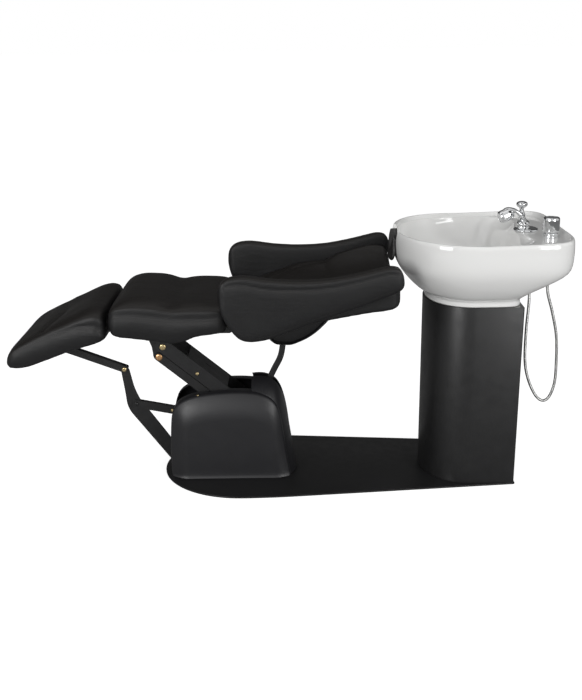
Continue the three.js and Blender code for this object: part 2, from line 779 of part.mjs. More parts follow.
// ---------------------------------------------------------------- pedestal
// A plan outline with a half-elliptical front and a square back, moved in by inset.
function pedestalOutline(inset) {
  const { front, straight, rear, halfWidth } = PEDESTAL;
  const half = halfWidth - inset;
  const shape = new THREE.Shape();
  shape.moveTo(rear - inset, -half);
  shape.lineTo(rear - inset, half);
  shape.lineTo(straight, half);
  shape.absellipse(straight, 0, straight - front - inset, half, Math.PI / 2, 1.5 * Math.PI, false, 0);
  shape.closePath();
  return shape;
}
const ACCESS = { halfWidth: 125, low: 90, high: 560 };

function pedestalShell() {
  const floor = PLATE.thickness + GAP;
  const { wall, top, rear } = PEDESTAL;
  return cut(
    planSlab(pedestalOutline(0), floor, top, 10),
    planSlab(pedestalOutline(wall), floor - 1, top + 1, 10),
    box(rear - 20, rear + 20, -ACCESS.halfWidth, ACCESS.halfWidth, ACCESS.low, ACCESS.high),
  );
}

function bowlSupport() {
  const top = PEDESTAL.top - 1;
  const low = top - 40;
  const ring = cut(
    planSlab(pedestalOutline(PEDESTAL.wall + GAP), low, top, 10),
    planSlab(pedestalOutline(PEDESTAL.wall + GAP + 3), low - 1, top - 3, 10),
  );
  return cut(
    ring,
    turned([[0, low - 2], [80, low - 2], [80, top + 2], [0, top + 2]], ...DRAIN),
    box(596, 632, -60, 60, low - 2, top + 2),
  );
}

const { wall: PEDESTAL_WALL, rear: PEDESTAL_REAR } = PEDESTAL;
add("pedestal_shell", pedestalShell(), BLACK_STEEL);
add(
  "pedestal_access_panel",
  box(
    PEDESTAL_REAR - PEDESTAL_WALL,
    PEDESTAL_REAR,
    1 - ACCESS.halfWidth,
    ACCESS.halfWidth - 1,
    ACCESS.low + 1,
    ACCESS.high - 1,
  ),
  BLACK_STEEL,
);
add("bowl_support_frame", bowlSupport(), STEEL);

// ---------------------------------------------------------------- basin
const RING_POINTS = 32;
// A plan ring at height z: a rounded front half and a squarer rear half that meet at the widest section.
function basinRing(z, front, rear, halfWidth, frontPower, rearPower, middle = BASIN.middle) {
  const ring = [];
  for (let i = 0; i < RING_POINTS; i++) {
    const angle = (2 * Math.PI * i) / RING_POINTS;
    const power = 2 / (Math.cos(angle) > 0 ? rearPower : frontPower);
    const reach = Math.cos(angle) > 0 ? rear - middle : middle - front;
    ring.push([
      middle + reach * Math.sign(Math.cos(angle)) * Math.abs(Math.cos(angle)) ** power,
      halfWidth * Math.sign(Math.sin(angle)) * Math.abs(Math.sin(angle)) ** power,
      z,
    ]);
  }
  return ring;
}

function basin() {
  const { front, rear, halfWidth, rim, wall } = BASIN;
  const foot = PEDESTAL.top + GAP;
  const outside = loft([
    basinRing(foot, 321, 637, 183, 2.1, 7, 482),
    basinRing(foot + 20, 321, 637, 183, 2.1, 7, 482),
    basinRing(foot + 24, 311, 636, 196, 2.2, 6.3, 484),
    basinRing(712, 285, 656, 220, 2.3, 5.4),
    basinRing(740, 256, 701, 248, 2.3, 5.6),
    basinRing(770, 232, 752, 272, 2.3, 5.8),
    basinRing(796, 216, 784, 288, 2.3, 6.2),
    basinRing(822, 208, 790, 298, 2.3, 6.4),
    basinRing(872, front - 2, 792, halfWidth + 2, 2.3, 6.4),
    basinRing(rim - 6, front, rear + 1, halfWidth, 2.3, 6.4),
    basinRing(rim, front + 5, rear - 5, halfWidth - 5, 2.3, 6.4),
  ]);
  const inside = loft([
    basinRing(732, 440, 560, 60, 2, 2, 500),
    basinRing(742, 380, 600, 120, 2.2, 2.2, 495),
    basinRing(760, 310, 622, 180, 2.3, 2.6),
    basinRing(800, 250, 632, 240, 2.3, 3),
    basinRing(850, 226, 636, 270, 2.3, 3.4),
    basinRing(rim - 10, front + wall + 3, DECK.front, 280, 2.3, 3.6),
    basinRing(rim + 2, front + wall, DECK.front + 3, 284, 2.3, 3.6),
  ]);
  // the shelf at the back that the tap stands on, set down from the rim
  const deckPocket = loft([
    basinRing(DECK.top, 420, rear - 16, 277, 2.3, 6, 520),
    basinRing(rim + 2, 420, rear - 13, 281, 2.3, 6, 520),
  ]);
  const underneath = loft([
    basinRing(foot - 2, 345, 612, 158, 2.1, 6, 482),
    basinRing(foot + 18, 350, 608, 152, 2.1, 6, 482),
    basinRing(foot + 34, 380, 580, 118, 2.1, 3, 482),
  ]);
  // the trough for the sitter's neck
  const notch = new THREE.CylinderGeometry(1, 1, 160, 28)
    .rotateZ(Math.PI / 2)
    .scale(1, NECK.halfWidth, NECK.depth)
    .translate(front - 20, 0, rim + 4);
  // the open space under the shelf, and the way from it into the pedestal
  const rearCavity = loft([
    basinRing(600, 652, 770, 190, 5, 5, 712),
    basinRing(DECK.top - wall, 652, 770, 220, 5, 5, 712),
  ]);
  const passage = box(600, 664, -56, 56, foot - 2, foot + 64);
  const holes = [[DRAIN, 26], [TAP, 15], [SOCKET, 17]].map(([place, radius]) =>
    turned([[0, 600], [radius, 600], [radius, 930], [0, 930]], ...place),
  );
  return cut(outside, inside, deckPocket, underneath, notch, rearCavity, passage, ...holes);
}

add("basin", basin(), CERAMIC);

// The soft saddle in the trough, with an apron that hangs down the front of the basin.
function neckRest() {
  const { front, rear, halfWidth, rim } = BASIN;
  const top = rim - 14;
  const saddle = (thickness, xLow, xHigh) =>
    new THREE.CylinderGeometry(1, 1, xHigh - xLow, 32)
      .rotateZ(Math.PI / 2)
      .scale(1, NECK.halfWidth - thickness, NECK.depth - thickness)
      .translate((xLow + xHigh) / 2, 0, rim + 4);
  const above = box(100, 400, -200, 200, top, 1100);
  const lining = cut(saddle(1, 192, NECK.inner), saddle(13, 180, NECK.inner + 8), above);
  const frontOf = (proud, zLow, zHigh) =>
    loft([zLow, zHigh].map((z) => basinRing(z, front - proud, rear, halfWidth + 3, 2.3, 6)));
  const apron = cut(
    frontOf(17, NECK.hem, top),
    frontOf(3.2, NECK.hem - 10, rim),
    box(100, 900, NECK.apron, 400, 700, 1000),
    box(100, 900, -400, -NECK.apron, 700, 1000),
    box(300, 900, -400, 400, 700, 1000),
    saddle(13, 150, 400),
  );
  return join(lining, apron);
}
add("neck_rest", neckRest(), RUBBER);

// ---------------------------------------------------------------- waste
const DRAIN_FLOOR = 734;
add(
  "drain_flange",
  turned(
    [
      [17, 640], [24, 640], [24, DRAIN_FLOOR - 1], [34, DRAIN_FLOOR + 1], [34, DRAIN_FLOOR + 3],
      [19, DRAIN_FLOOR + 2], [17, DRAIN_FLOOR - 3], [17, 640],
    ],
    ...DRAIN,
  ),
  CHROME,
);
// A cup that catches hair; it lifts out of the waste.
function hairStrainer() {
  const cup = turned(
    [
      [0, 700], [14, 702], [15, DRAIN_FLOOR - 4], [17, DRAIN_FLOOR + 3], [27, DRAIN_FLOOR + 4],
      [26, DRAIN_FLOOR + 7], [12, DRAIN_FLOOR + 6], [12, 706], [0, 704],
    ],
    ...DRAIN,
    16,
  );
  const knob = turned([[0, 703], [3, 703], [3, 738], [7, 742], [7, 748], [0, 750]], ...DRAIN, 10);
  const holes = [0, 1, 2, 3].map((i) => {
    const angle = (i * Math.PI) / 2;
    const x = DRAIN[0] + 8 * Math.cos(angle);
    const y = 8 * Math.sin(angle);
    return rod([x, y, 690], [x, y, 715], 2, 6);
  });
  return cut(join(cup, knob), ...holes);
}
add("hair_strainer", hairStrainer(), STEEL);
add(
  "drain_trap",
  pipe(
    [
      [500, 0, 636], [500, 0, 560], [500, 0, 470], [500, 20, 425], [500, 60, 412], [500, 100, 425],
      [500, 118, 470], [500, 118, 540], [508, 118, 585], [540, 118, 600], [572, 118, 580],
      [580, 118, 520], [580, 118, 120],
    ],
    20,
    26,
    4,
  ),
  GREY_PLASTIC,
);

// ---------------------------------------------------------------- tap and hand shower
const SHELF = DECK.top + GAP;
const LEVER_PIVOT = [660, 932]; // [x, z], in the plane y = 0

function mixerBody() {
  const flange = turned(
    [[0, SHELF], [43, SHELF], [44, SHELF + 4], [38, SHELF + 9], [0, SHELF + 9]],
    ...TAP,
  );
  const boss = turned([[0, SHELF], [24, SHELF + 5], [21, 914], [0, 914]], LEVER_PIVOT[0], 0);
  const tail = turned([[0, 790], [14, 790], [14, SHELF + 2], [0, SHELF + 2]], ...TAP, 20);
  return join(flange, boss, tail);
}

// The ring that turns for temperature, with the socket for the lever's ball.
const mixerCap = () =>
  cut(
    turned([[0, 914.5], [22, 914.5], [22, 926], [18, 931], [0, 931]], LEVER_PIVOT[0], 0),
    new THREE.SphereGeometry(13.9, 16, 10).translate(LEVER_PIVOT[0], 0, LEVER_PIVOT[1]),
  );

// The arched lever that lifts for flow, with its barrel-shaped grip.
function mixerLever() {
  const [x, z] = LEVER_PIVOT;
  const ball = new THREE.SphereGeometry(13, 16, 10).translate(x, 0, z);
  const arch = pipe([[x, 0, z], [648, 0, 950], [628, 0, 966], [604, 0, 970]], 11, 7, 4);
  const grip = rod([624, 0, 962], [576, 0, 946], 21, 24);
  const face = rod([577, 0, 946.3], [572, 0, 944.7], 16, 24);
  return join(ball, arch, grip, face);
}

const vacuumBreaker = () =>
  turned(
    [
      [0, SHELF + 9.5], [7, SHELF + 9.5], [8, 920], [7, 930], [11, 936], [12, 948], [8, 954],
      [8, 968], [14, 973], [19.5, 978], [19.5, 987], [15, 992], [6, 994], [0, 994],
    ],
    660,
    34,
    20,
  );

const handshowerSocket = () =>
  turned(
    [[13, 860], [16, 860], [16, SHELF], [25, SHELF], [25, 912], [23, 914], [13, 914], [13, 860]],
    ...SOCKET,
  );

const handShower = () =>
  turned(
    [
      [0, 790], [7, 790], [9, 800], [12, 812], [12, 914.5], [25, 914.5], [28, 918], [28, 962],
      [25, 966], [22, 966], [21, 964], [0, 964],
    ],
    ...SOCKET,
  );

add("mixer_body", mixerBody(), CHROME);
add("mixer_cap", mixerCap(), CHROME);
add("mixer_lever", mixerLever(), CHROME);
add("vacuum_breaker", vacuumBreaker(), CHROME);
add("handshower_socket", handshowerSocket(), CHROME);
add("hand_shower", handShower(), CHROME);
add(
  "spray_hose",
  pipe(
    [
      [727, -120, 789.5], [729, -120, 745], [750, -116, 650], [776, -110, 540], [784, -106, 440],
      [784, -103, 360], [768, -101, 305], [744, -100, 292], [716, -99, 318], [688, -98, 380],
      [674, -97, 450], [672, -95, 560], [678, -84, 660], [682, -50, 730], [680, -14, 768], [679, -8, 787],
    ],
    5,
    40,
    3,
  ),
  STEEL,
);
const supplyHose = (side) =>
  pipe(
    [
      [666, 8 * side, 787], [664, 12 * side, 745], [648, 20 * side, 705], [624, 26 * side, 672],
      [608, 34 * side, 600], [600, 60 * side, 420], [600, 72 * side, 200], [600, 74 * side, 60],
    ],
    5.5,
    18,
    3,
  );
add("supply_hose_left", supplyHose(-1), STEEL);
add("supply_hose_right", supplyHose(1), STEEL);

export default backwash;
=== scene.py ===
"""Looks for the salon backwash unit: upholstery, ceramic, chrome, cover, hoses, materials, light and camera.

Metres, +X from the chair to the basin, +Z up. Sizes come from the CAD frame where a CAD node has them.
"""

import json
import math

import bmesh
import bpy
import numpy as np
from mathutils import Matrix, Vector
from mathutils.bvhtree import BVHTree
from mathutils.kdtree import KDTree


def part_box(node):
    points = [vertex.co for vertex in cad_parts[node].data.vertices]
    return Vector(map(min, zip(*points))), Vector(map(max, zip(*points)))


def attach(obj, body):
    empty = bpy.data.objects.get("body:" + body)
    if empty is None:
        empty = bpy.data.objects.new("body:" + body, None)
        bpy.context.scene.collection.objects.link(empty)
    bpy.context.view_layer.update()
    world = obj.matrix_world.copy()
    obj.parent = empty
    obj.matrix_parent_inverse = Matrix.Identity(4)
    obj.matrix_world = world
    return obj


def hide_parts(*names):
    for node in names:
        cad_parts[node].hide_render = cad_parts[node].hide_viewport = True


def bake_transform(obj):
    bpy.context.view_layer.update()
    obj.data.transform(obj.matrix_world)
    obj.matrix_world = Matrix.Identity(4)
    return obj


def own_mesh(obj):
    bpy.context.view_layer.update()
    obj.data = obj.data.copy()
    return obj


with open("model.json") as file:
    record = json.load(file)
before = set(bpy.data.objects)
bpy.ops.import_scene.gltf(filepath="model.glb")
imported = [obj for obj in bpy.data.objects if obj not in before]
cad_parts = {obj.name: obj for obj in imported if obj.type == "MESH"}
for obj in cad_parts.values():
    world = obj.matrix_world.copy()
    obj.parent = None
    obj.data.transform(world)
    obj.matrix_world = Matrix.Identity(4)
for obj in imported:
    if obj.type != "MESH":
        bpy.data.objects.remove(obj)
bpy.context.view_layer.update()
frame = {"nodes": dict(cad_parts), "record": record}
NODES = frame["nodes"]
MM = 0.001


# ---------------------------------------------------------------- materials
class Look:
    """A principled material with short calls for the procedural nodes it is made of."""

    def __init__(self, name, colour, roughness, metallic=0.0):
        self.material = bpy.data.materials.new(name)
        self.material.use_nodes = True
        self.tree = self.material.node_tree
        self.surface = self.tree.nodes["Principled BSDF"]
        self.surface.inputs["Base Color"].default_value = (*colour, 1)
        self.surface.inputs["Roughness"].default_value = roughness
        self.surface.inputs["Metallic"].default_value = metallic
        self.coords = self.tree.nodes.new("ShaderNodeTexCoord").outputs["Object"]
        self.height = None

    def link(self, source, target):
        self.tree.links.new(source, target)

    def mapped(self, stretch):
        node = self.tree.nodes.new("ShaderNodeMapping")
        node.inputs["Scale"].default_value = stretch
        self.link(self.coords, node.inputs["Vector"])
        return node.outputs["Vector"]

    def noise(self, scale, detail=2.0, stretch=(1, 1, 1), distortion=0.0):
        node = self.tree.nodes.new("ShaderNodeTexNoise")
        node.inputs["Scale"].default_value = scale
        node.inputs["Detail"].default_value = detail
        node.inputs["Distortion"].default_value = distortion
        self.link(self.mapped(stretch), node.inputs["Vector"])
        return node.outputs["Fac"]

    def cells(self, scale, stretch=(1, 1, 1), feature="DISTANCE_TO_EDGE"):
        node = self.tree.nodes.new("ShaderNodeTexVoronoi")
        node.feature = feature
        node.inputs["Scale"].default_value = scale
        self.link(self.mapped(stretch), node.inputs["Vector"])
        return node.outputs["Distance"]

    def spread(self, value, low, high, out_low, out_high):
        node = self.tree.nodes.new("ShaderNodeMapRange")
        node.inputs["From Min"].default_value = low
        node.inputs["From Max"].default_value = high
        node.inputs["To Min"].default_value = out_low
        node.inputs["To Max"].default_value = out_high
        self.link(value, node.inputs["Value"])
        return node.outputs["Result"]

    def facing_up(self):
        """0 on walls, 1 on tops; the mask for painted light on the leatherette."""
        geometry = self.tree.nodes.new("ShaderNodeNewGeometry")
        split = self.tree.nodes.new("ShaderNodeSeparateXYZ")
        self.link(geometry.outputs["Normal"], split.inputs["Vector"])
        return self.spread(split.outputs["Z"], 0.1, 0.8, 0, 1)

    def colour(self, factor, first, second):
        node = self.tree.nodes.new("ShaderNodeMix")
        node.data_type = "RGBA"
        node.inputs["A"].default_value = (*first, 1)
        node.inputs["B"].default_value = (*second, 1)
        self.link(factor, node.inputs["Factor"])
        self.link(node.outputs["Result"], self.surface.inputs["Base Color"])

    def rough(self, factor, low, high):
        self.link(self.spread(factor, 0.3, 0.7, low, high), self.surface.inputs["Roughness"])

    def bump(self, value, depth, strength=1.0):
        """Adds one layer of relief, depth in metres."""
        node = self.tree.nodes.new("ShaderNodeBump")
        node.inputs["Strength"].default_value = strength
        node.inputs["Distance"].default_value = depth
        self.link(value, node.inputs["Height"])
        if self.height is not None:
            self.link(self.height, node.inputs["Normal"])
        self.height = node.outputs["Normal"]
        self.link(self.height, self.surface.inputs["Normal"])


def leatherette():
    look = Look("black_leatherette", (0.012, 0.011, 0.010), 0.46)
    # painted light: tops tinted warm brown and walls cool grey by which way they face, the tone the studio
    # light gives one material
    look.colour(look.facing_up(), (0.0085, 0.0085, 0.009), (0.0100, 0.0085, 0.0075))
    look.rough(look.noise(9, 3), 0.36, 0.47)
    look.bump(look.spread(look.cells(820), 0.0, 0.14, 0, 1), 0.00016, 0.55)
    look.bump(look.noise(75, 3, (0.22, 1, 1), 0.6), 0.0011, 0.5)
    look.bump(look.noise(14, 2, (0.6, 1, 1)), 0.003, 0.25)
    look.surface.inputs["Specular IOR Level"].default_value = 0.36
    return look.material


def thread():
    look = Look("black_thread", (0.02, 0.019, 0.018), 0.55)
    look.bump(look.noise(2500, 1), 0.0002)
    return look.material


def painted_steel(name, colour, roughness):
    look = Look(name, colour, roughness)
    look.rough(look.noise(30, 4), roughness - 0.05, roughness + 0.06)
    look.bump(look.noise(1300, 2), 0.00012, 0.5)
    look.bump(look.noise(5, 1), 0.002, 0.05)
    return look.material


def moulded(name, colour, roughness, grain):
    look = Look(name, colour, roughness)
    look.rough(look.noise(18, 3), roughness - 0.04, roughness + 0.05)
    look.bump(look.noise(1500, 2), grain, 0.6)
    return look.material


def ceramic():
    look = Look("white_ceramic", (0.86, 0.86, 0.845), 0.07)
    look.colour(look.noise(4, 2), (0.86, 0.86, 0.845), (0.88, 0.88, 0.87))
    look.rough(look.noise(11, 2), 0.05, 0.09)
    look.bump(look.noise(16, 1), 0.0006, 0.08)
    look.surface.inputs["Coat Weight"].default_value = 0.6
    look.surface.inputs["Coat Roughness"].default_value = 0.03
    return look.material


def metal(name, colour, roughness, stretch=(1, 1, 1), wear=0.0):
    look = Look(name, colour, roughness, 1.0)
    look.rough(look.noise(220, 3, stretch), max(0.02, roughness - 0.04), roughness + 0.05)
    look.colour(
        look.spread(look.noise(60, 4), 0.35, 0.65, 0, 1),
        colour,
        tuple(c * (1 - wear) for c in colour),
    )
    look.bump(look.noise(400, 2, stretch), 0.00005, 0.3)
    return look.material


def plywood():
    look = Look("plywood", (0.45, 0.27, 0.13), 0.7)
    look.colour(look.noise(30, 4, (0.1, 1, 3), 0.8), (0.50, 0.32, 0.17), (0.36, 0.21, 0.10))
    look.bump(look.noise(400, 3, (0.05, 1, 1)), 0.0003, 0.5)
    return look.material


LEATHER = leatherette()
THREAD = thread()
STEEL_BLACK = painted_steel("black_powder_coat", (0.0125, 0.0125, 0.013), 0.36)
COVER_PLASTIC = moulded("black_cover_plastic", (0.0165, 0.0165, 0.0185), 0.40, 0.00012)
GLOSS_PLASTIC = moulded("gloss_black_plastic", (0.006, 0.006, 0.0065), 0.16, 0.00002)
GREY_PLASTIC = moulded("grey_plastic", (0.16, 0.165, 0.17), 0.45, 0.0001)
CERAMIC = ceramic()
RUBBER = moulded("black_rubber", (0.013, 0.012, 0.012), 0.48, 0.00008)
CHROME = metal("chrome", (0.80, 0.81, 0.82), 0.05)
ZINC = metal("yellow_zinc", (0.83, 0.66, 0.36), 0.28, wear=0.2)
COPPER = metal("copper_bush", (0.86, 0.50, 0.24), 0.3, wear=0.2)
STEEL = metal("stainless_steel", (0.60, 0.60, 0.59), 0.24, (1, 1, 0.05), 0.08)
PLYWOOD = plywood()

for_slot = {
    "black_steel": STEEL_BLACK,
    "black_plastic": COVER_PLASTIC,
    "gloss_plastic": GLOSS_PLASTIC,
    "leatherette": LEATHER,
    "white_ceramic": CERAMIC,
    "black_rubber": RUBBER,
    "chrome": CHROME,
    "zinc": ZINC,
    "steel": STEEL,
    "plywood": PLYWOOD,
    "grey_plastic": GREY_PLASTIC,
}


# ---------------------------------------------------------------- mesh helpers
def shade(obj, angle=35):
    """Smooth shading that keeps edges sharper than the angle."""
    obj.data.shade_smooth()
    limit = math.radians(angle)
    work = bmesh.new()
    work.from_mesh(obj.data)
    for edge in work.edges:
        if len(edge.link_faces) == 2 and edge.calc_face_angle(0) > limit:
            edge.smooth = False
    work.to_mesh(obj.data)
    work.free()


def piece(name, verts, faces, material, body, stands_for=(), angle=180):
    """A named mesh that rides on a CAD body."""
    mesh = bpy.data.meshes.new(name)
    mesh.from_pydata([tuple(map(float, v)) for v in verts], [], faces)
    mesh.materials.append(material)
    mesh.update()
    obj = bpy.data.objects.new(name, mesh)
    bpy.context.scene.collection.objects.link(obj)
    shade(obj, angle)
    finish_piece(obj, body, stands_for)
    return obj


def finish_piece(obj, body, stands_for=()):
    if body:
        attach(obj, body)
    if stands_for:
        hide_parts(*stands_for)


def skin(rings, closed_ends=True, closed_loop=False):
    """Verts and faces of a surface through rings of equally many points."""
    rings = [np.asarray(r, float) for r in rings]
    count, levels = len(rings[0]), len(rings)
    verts = [p for ring in rings for p in ring]
    faces = []
    for level in range(levels if closed_loop else levels - 1):
        for i in range(count):
            a = level * count + i
            b = level * count + (i + 1) % count
            up = count if level < levels - 1 else -level * count
            faces.append((a, b, b + up, a + up))
    if closed_ends and not closed_loop:
        for level, flip in ((0, True), (levels - 1, False)):
            centre = len(verts)
            verts.append(rings[level].mean(0))
            for i in range(count):
                a = level * count + i
                b = level * count + (i + 1) % count
                faces.append((centre, b, a) if flip else (centre, a, b))
    return verts, faces


def turned(profile, segments=64):
    """Rings of a turned body about +Z at the origin, from [radius, z] points; radius 0 closes an end."""
    angles = np.linspace(0, 2 * math.pi, segments, endpoint=False)
    return [
        np.stack([r * np.cos(angles), r * np.sin(angles), np.full(segments, z)], 1)
        for r, z in profile
    ]


def rounded(points, radius, steps=5):
    """An open profile whose inner corners are rounded; radius is one number or one per point."""
    points = [np.array(p, float) for p in points]
    out = [points[0]]
    for i in range(1, len(points) - 1):
        size = radius[i] if isinstance(radius, (list, tuple)) else radius
        before, after = points[i - 1] - points[i], points[i + 1] - points[i]
        reach = min(size, np.linalg.norm(before) / 2.05, np.linalg.norm(after) / 2.05)
        start = points[i] + before / np.linalg.norm(before) * reach
        end = points[i] + after / np.linalg.norm(after) * reach
        for t in np.linspace(0, 1, steps):
            out.append((1 - t) ** 2 * start + 2 * t * (1 - t) * points[i] + t * t * end)
    out.append(points[-1])
    return out


def resample(points, count):
    """Equally spaced points along an open line."""
    points = np.asarray(points, float)
    steps = np.linalg.norm(np.diff(points, axis=0), axis=1)
    run = np.concatenate([[0], np.cumsum(steps)])
    at = np.linspace(0, run[-1], count)
    return np.stack([np.interp(at, run, points[:, k]) for k in range(points.shape[1])], 1)


def smooth_line(points, per_span=10):
    """A Catmull-Rom line through points."""
    p = np.asarray(points, float)
    p = np.vstack([2 * p[0] - p[1], p, 2 * p[-1] - p[-2]])
    out = []
    for i in range(1, len(p) - 2):
        for t in np.linspace(0, 1, per_span, endpoint=False):
            out.append(
                0.5
                * (
                    2 * p[i]
                    + (p[i + 1] - p[i - 1]) * t
                    + (2 * p[i - 1] - 5 * p[i] + 4 * p[i + 1] - p[i + 2]) * t * t
                    + (3 * p[i] - p[i - 1] - 3 * p[i + 1] + p[i + 2]) * t**3
                )
            )
    out.append(p[-2])
    return np.array(out)


def height_curve(points):
    """A smooth height along x without overshoot, through [x, z] points in millimetres."""
    x, z = np.array(points, float).T * MM
    step = np.diff(x)
    slope = np.diff(z) / step
    tangent = np.zeros(len(x))
    for i in range(1, len(x) - 1):
        if slope[i - 1] * slope[i] > 0:
            first = 2 * step[i] + step[i - 1]
            second = step[i] + 2 * step[i - 1]
            tangent[i] = (first + second) / (first / slope[i - 1] + second / slope[i])
    tangent[0], tangent[-1] = slope[0], slope[-1]

    def at(value):
        value = np.clip(value, x[0], x[-1])
        i = np.clip(np.searchsorted(x, value) - 1, 0, len(x) - 2)
        t = (value - x[i]) / step[i]
        return (
            z[i] * (1 + 2 * t) * (1 - t) ** 2
            + step[i] * tangent[i] * t * (1 - t) ** 2
            + z[i + 1] * t * t * (3 - 2 * t)
            + step[i] * tangent[i + 1] * t * t * (t - 1)
        )

    return at


def placed(obj, origin, axis=(0, 0, 1)):
    """Turns a piece made about +Z so that it stands on an axis through a point; its mesh takes the change."""
    turn = Vector((0, 0, 1)).rotation_difference(Vector(axis)).to_matrix().to_4x4()
    obj.data.transform(Matrix.Translation(Vector(origin)) @ turn)
    obj.data.update()
    return obj


def outward(obj):
    """Makes every face point out."""
    work = bmesh.new()
    work.from_mesh(obj.data)
    bmesh.ops.recalc_face_normals(work, faces=work.faces)
    work.to_mesh(obj.data)
    work.free()


# ---------------------------------------------------------------- carried-over CAD nodes
for name, obj in NODES.items():
    slots = {s["node"]: s["material_slot"] for s in frame["record"]["subparts"]}
    obj.data.materials.clear()
    obj.data.materials.append(for_slot[slots[name]])
    edge = obj.modifiers.new("edges", "BEVEL")
    edge.width = 0.0009
    edge.segments = 2
    edge.limit_method = "ANGLE"
    edge.angle_limit = math.radians(32)
    edge.harden_normals = False


# ---------------------------------------------------------------- upholstery
def stations(start, end, round_start, round_end, spacing=0.012):
    """x positions along a pad, closer together where its ends turn over."""
    left = [start + round_start * (1 - math.cos(a)) for a in np.linspace(0.22, math.pi / 2, 7)]
    right = [end - round_end * (1 - math.cos(a)) for a in np.linspace(0.22, math.pi / 2, 7)]
    middle = np.linspace(left[-1], right[-1], max(3, int((right[-1] - left[-1]) / spacing)))
    return left[:-1] + list(middle) + right[:-1][::-1]


def corner(distance, radius):
    """How far a corner of this radius has moved in, at a distance from the end."""
    if distance >= radius:
        return 0.0
    return radius - math.sqrt(max(0.0, radius**2 - (radius - distance) ** 2))


def pad_section(x, half, top, seam, bottom, crown=4.5, bulge=0.006):
    """One cross section of a pad: a rolled top panel, bulging side panels and a flat underside."""
    angle = np.linspace(math.pi / 2, -math.pi / 2, 241)
    reach = np.sign(np.sin(angle)) * np.abs(np.sin(angle)) ** (2 / crown)
    rise = np.abs(np.cos(angle)) ** (2 / crown)
    over = np.stack([half * reach, seam + (top - seam) * rise], 1)
    over = resample(over, 61)
    down = np.linspace(0, 1, 13)
    side = np.stack([half + bulge * np.sin(math.pi * down), seam + (bottom - seam) * down], 1)
    left = side * (-1, 1)
    under = np.stack([np.linspace(-half, half, 41), np.full(41, bottom)], 1)
    loop = np.vstack([over, left[1:], under[1:-1], side[::-1][:-1]])
    return np.column_stack([np.full(len(loop), x), loop])


def surface_mesh(name, rings):
    verts, faces = skin(rings)
    mesh = bpy.data.meshes.new(name)
    mesh.from_pydata([tuple(map(float, v)) for v in verts], [], faces)
    obj = bpy.data.objects.new(name, mesh)
    bpy.context.scene.collection.objects.link(obj)
    outward(obj)
    return obj


def apply_all(obj):
    """Puts the modifiers' result into the mesh."""
    graph = bpy.context.evaluated_depsgraph_get()
    mesh = bpy.data.meshes.new_from_object(obj.evaluated_get(graph))
    obj.modifiers.clear()
    obj.data = mesh


def coordinates(mesh):
    flat = np.zeros(len(mesh.vertices) * 3)
    mesh.vertices.foreach_get("co", flat)
    return flat.reshape(-1, 3)


def normals(mesh):
    flat = np.zeros(len(mesh.vertices) * 3)
    mesh.vertex_normals.foreach_get("vector", flat)
    return flat.reshape(-1, 3)


def set_coordinates(mesh, points):
    mesh.vertices.foreach_set("co", points.astype(np.float32).ravel())
    mesh.update()


def even(obj, voxel):
    """An even mesh of the same shape."""
    modifier = obj.modifiers.new("even", "REMESH")
    modifier.mode = "VOXEL"
    modifier.voxel_size = voxel
    apply_all(obj)


def relax(obj, rounds, factor=0.5):
    modifier = obj.modifiers.new("relax", "SMOOTH")
    modifier.iterations = rounds
    modifier.factor = factor
    apply_all(obj)


SMOOTHING_ROUNDS = 60
KEPT_SWELLING = 0.6  # share of the simulated swelling that the stuffing takes up


def smoothed_over_edges(mesh, amount, rounds):
    """A value at each point of a mesh, averaged with its neighbours again and again."""
    ends = np.empty(len(mesh.edges) * 2, int)
    mesh.edges.foreach_get("vertices", ends)
    first, second = ends.reshape(-1, 2).T
    count = np.maximum(np.bincount(ends, minlength=len(amount)), 1)
    for _ in range(rounds):
        total = np.bincount(first, amount[second], len(amount))
        total += np.bincount(second, amount[first], len(amount))
        amount = (amount + total / count) / 2
    return amount


def inflate(obj, cap, pressure=4.0):
    """Swells a pad by a short cloth simulation and keeps a smooth share of how far it swelled outwards."""
    mesh = obj.data
    start = coordinates(mesh)
    outwards = normals(mesh)
    cloth = obj.modifiers.new("cloth", "CLOTH")
    cloth.settings.quality = 4
    cloth.settings.mass = 0.25
    cloth.settings.tension_stiffness = 12
    cloth.settings.compression_stiffness = 12
    cloth.settings.bending_stiffness = 0.4
    cloth.settings.use_pressure = True
    cloth.settings.uniform_pressure_force = pressure
    cloth.settings.effector_weights.gravity = 0
    cloth.collision_settings.use_collision = False
    cloth.collision_settings.use_self_collision = False
    for number in range(1, 21):
        bpy.context.scene.frame_set(number)
    graph = bpy.context.evaluated_depsgraph_get()
    swollen = coordinates(obj.evaluated_get(graph).data)
    obj.modifiers.clear()
    bpy.context.scene.frame_set(1)
    amount = np.clip(((swollen - start) * outwards).sum(axis=1), -0.002, cap)
    amount = smoothed_over_edges(mesh, amount, SMOOTHING_ROUNDS)
    set_coordinates(mesh, start + outwards * (amount * KEPT_SWELLING)[:, None])


def press(obj, lines, depth, width):
    """Presses a groove into a pad along lines."""
    tree = KDTree(sum(len(line) for line in lines))
    index = 0
    for line in lines:
        for point in line:
            tree.insert(Vector(point), index)
            index += 1
    tree.balance()
    points = coordinates(obj.data)
    inward = normals(obj.data)
    far = np.array([tree.find(Vector(p))[2] for p in points])
    points -= inward * (depth * np.exp(-((far / width) ** 2)))[:, None]
    set_coordinates(obj.data, points)


def lay(obj, line, lift=0.0):
    """The same line, laid on a pad's surface, and the surface's normals along it."""
    graph = bpy.context.evaluated_depsgraph_get()
    tree = BVHTree.FromObject(obj, graph)
    found = [tree.find_nearest(Vector(p)) for p in line]
    place = np.array([tuple(hit[0] + hit[1] * lift) for hit in found])
    return place, np.array([tuple(hit[1]) for hit in found])


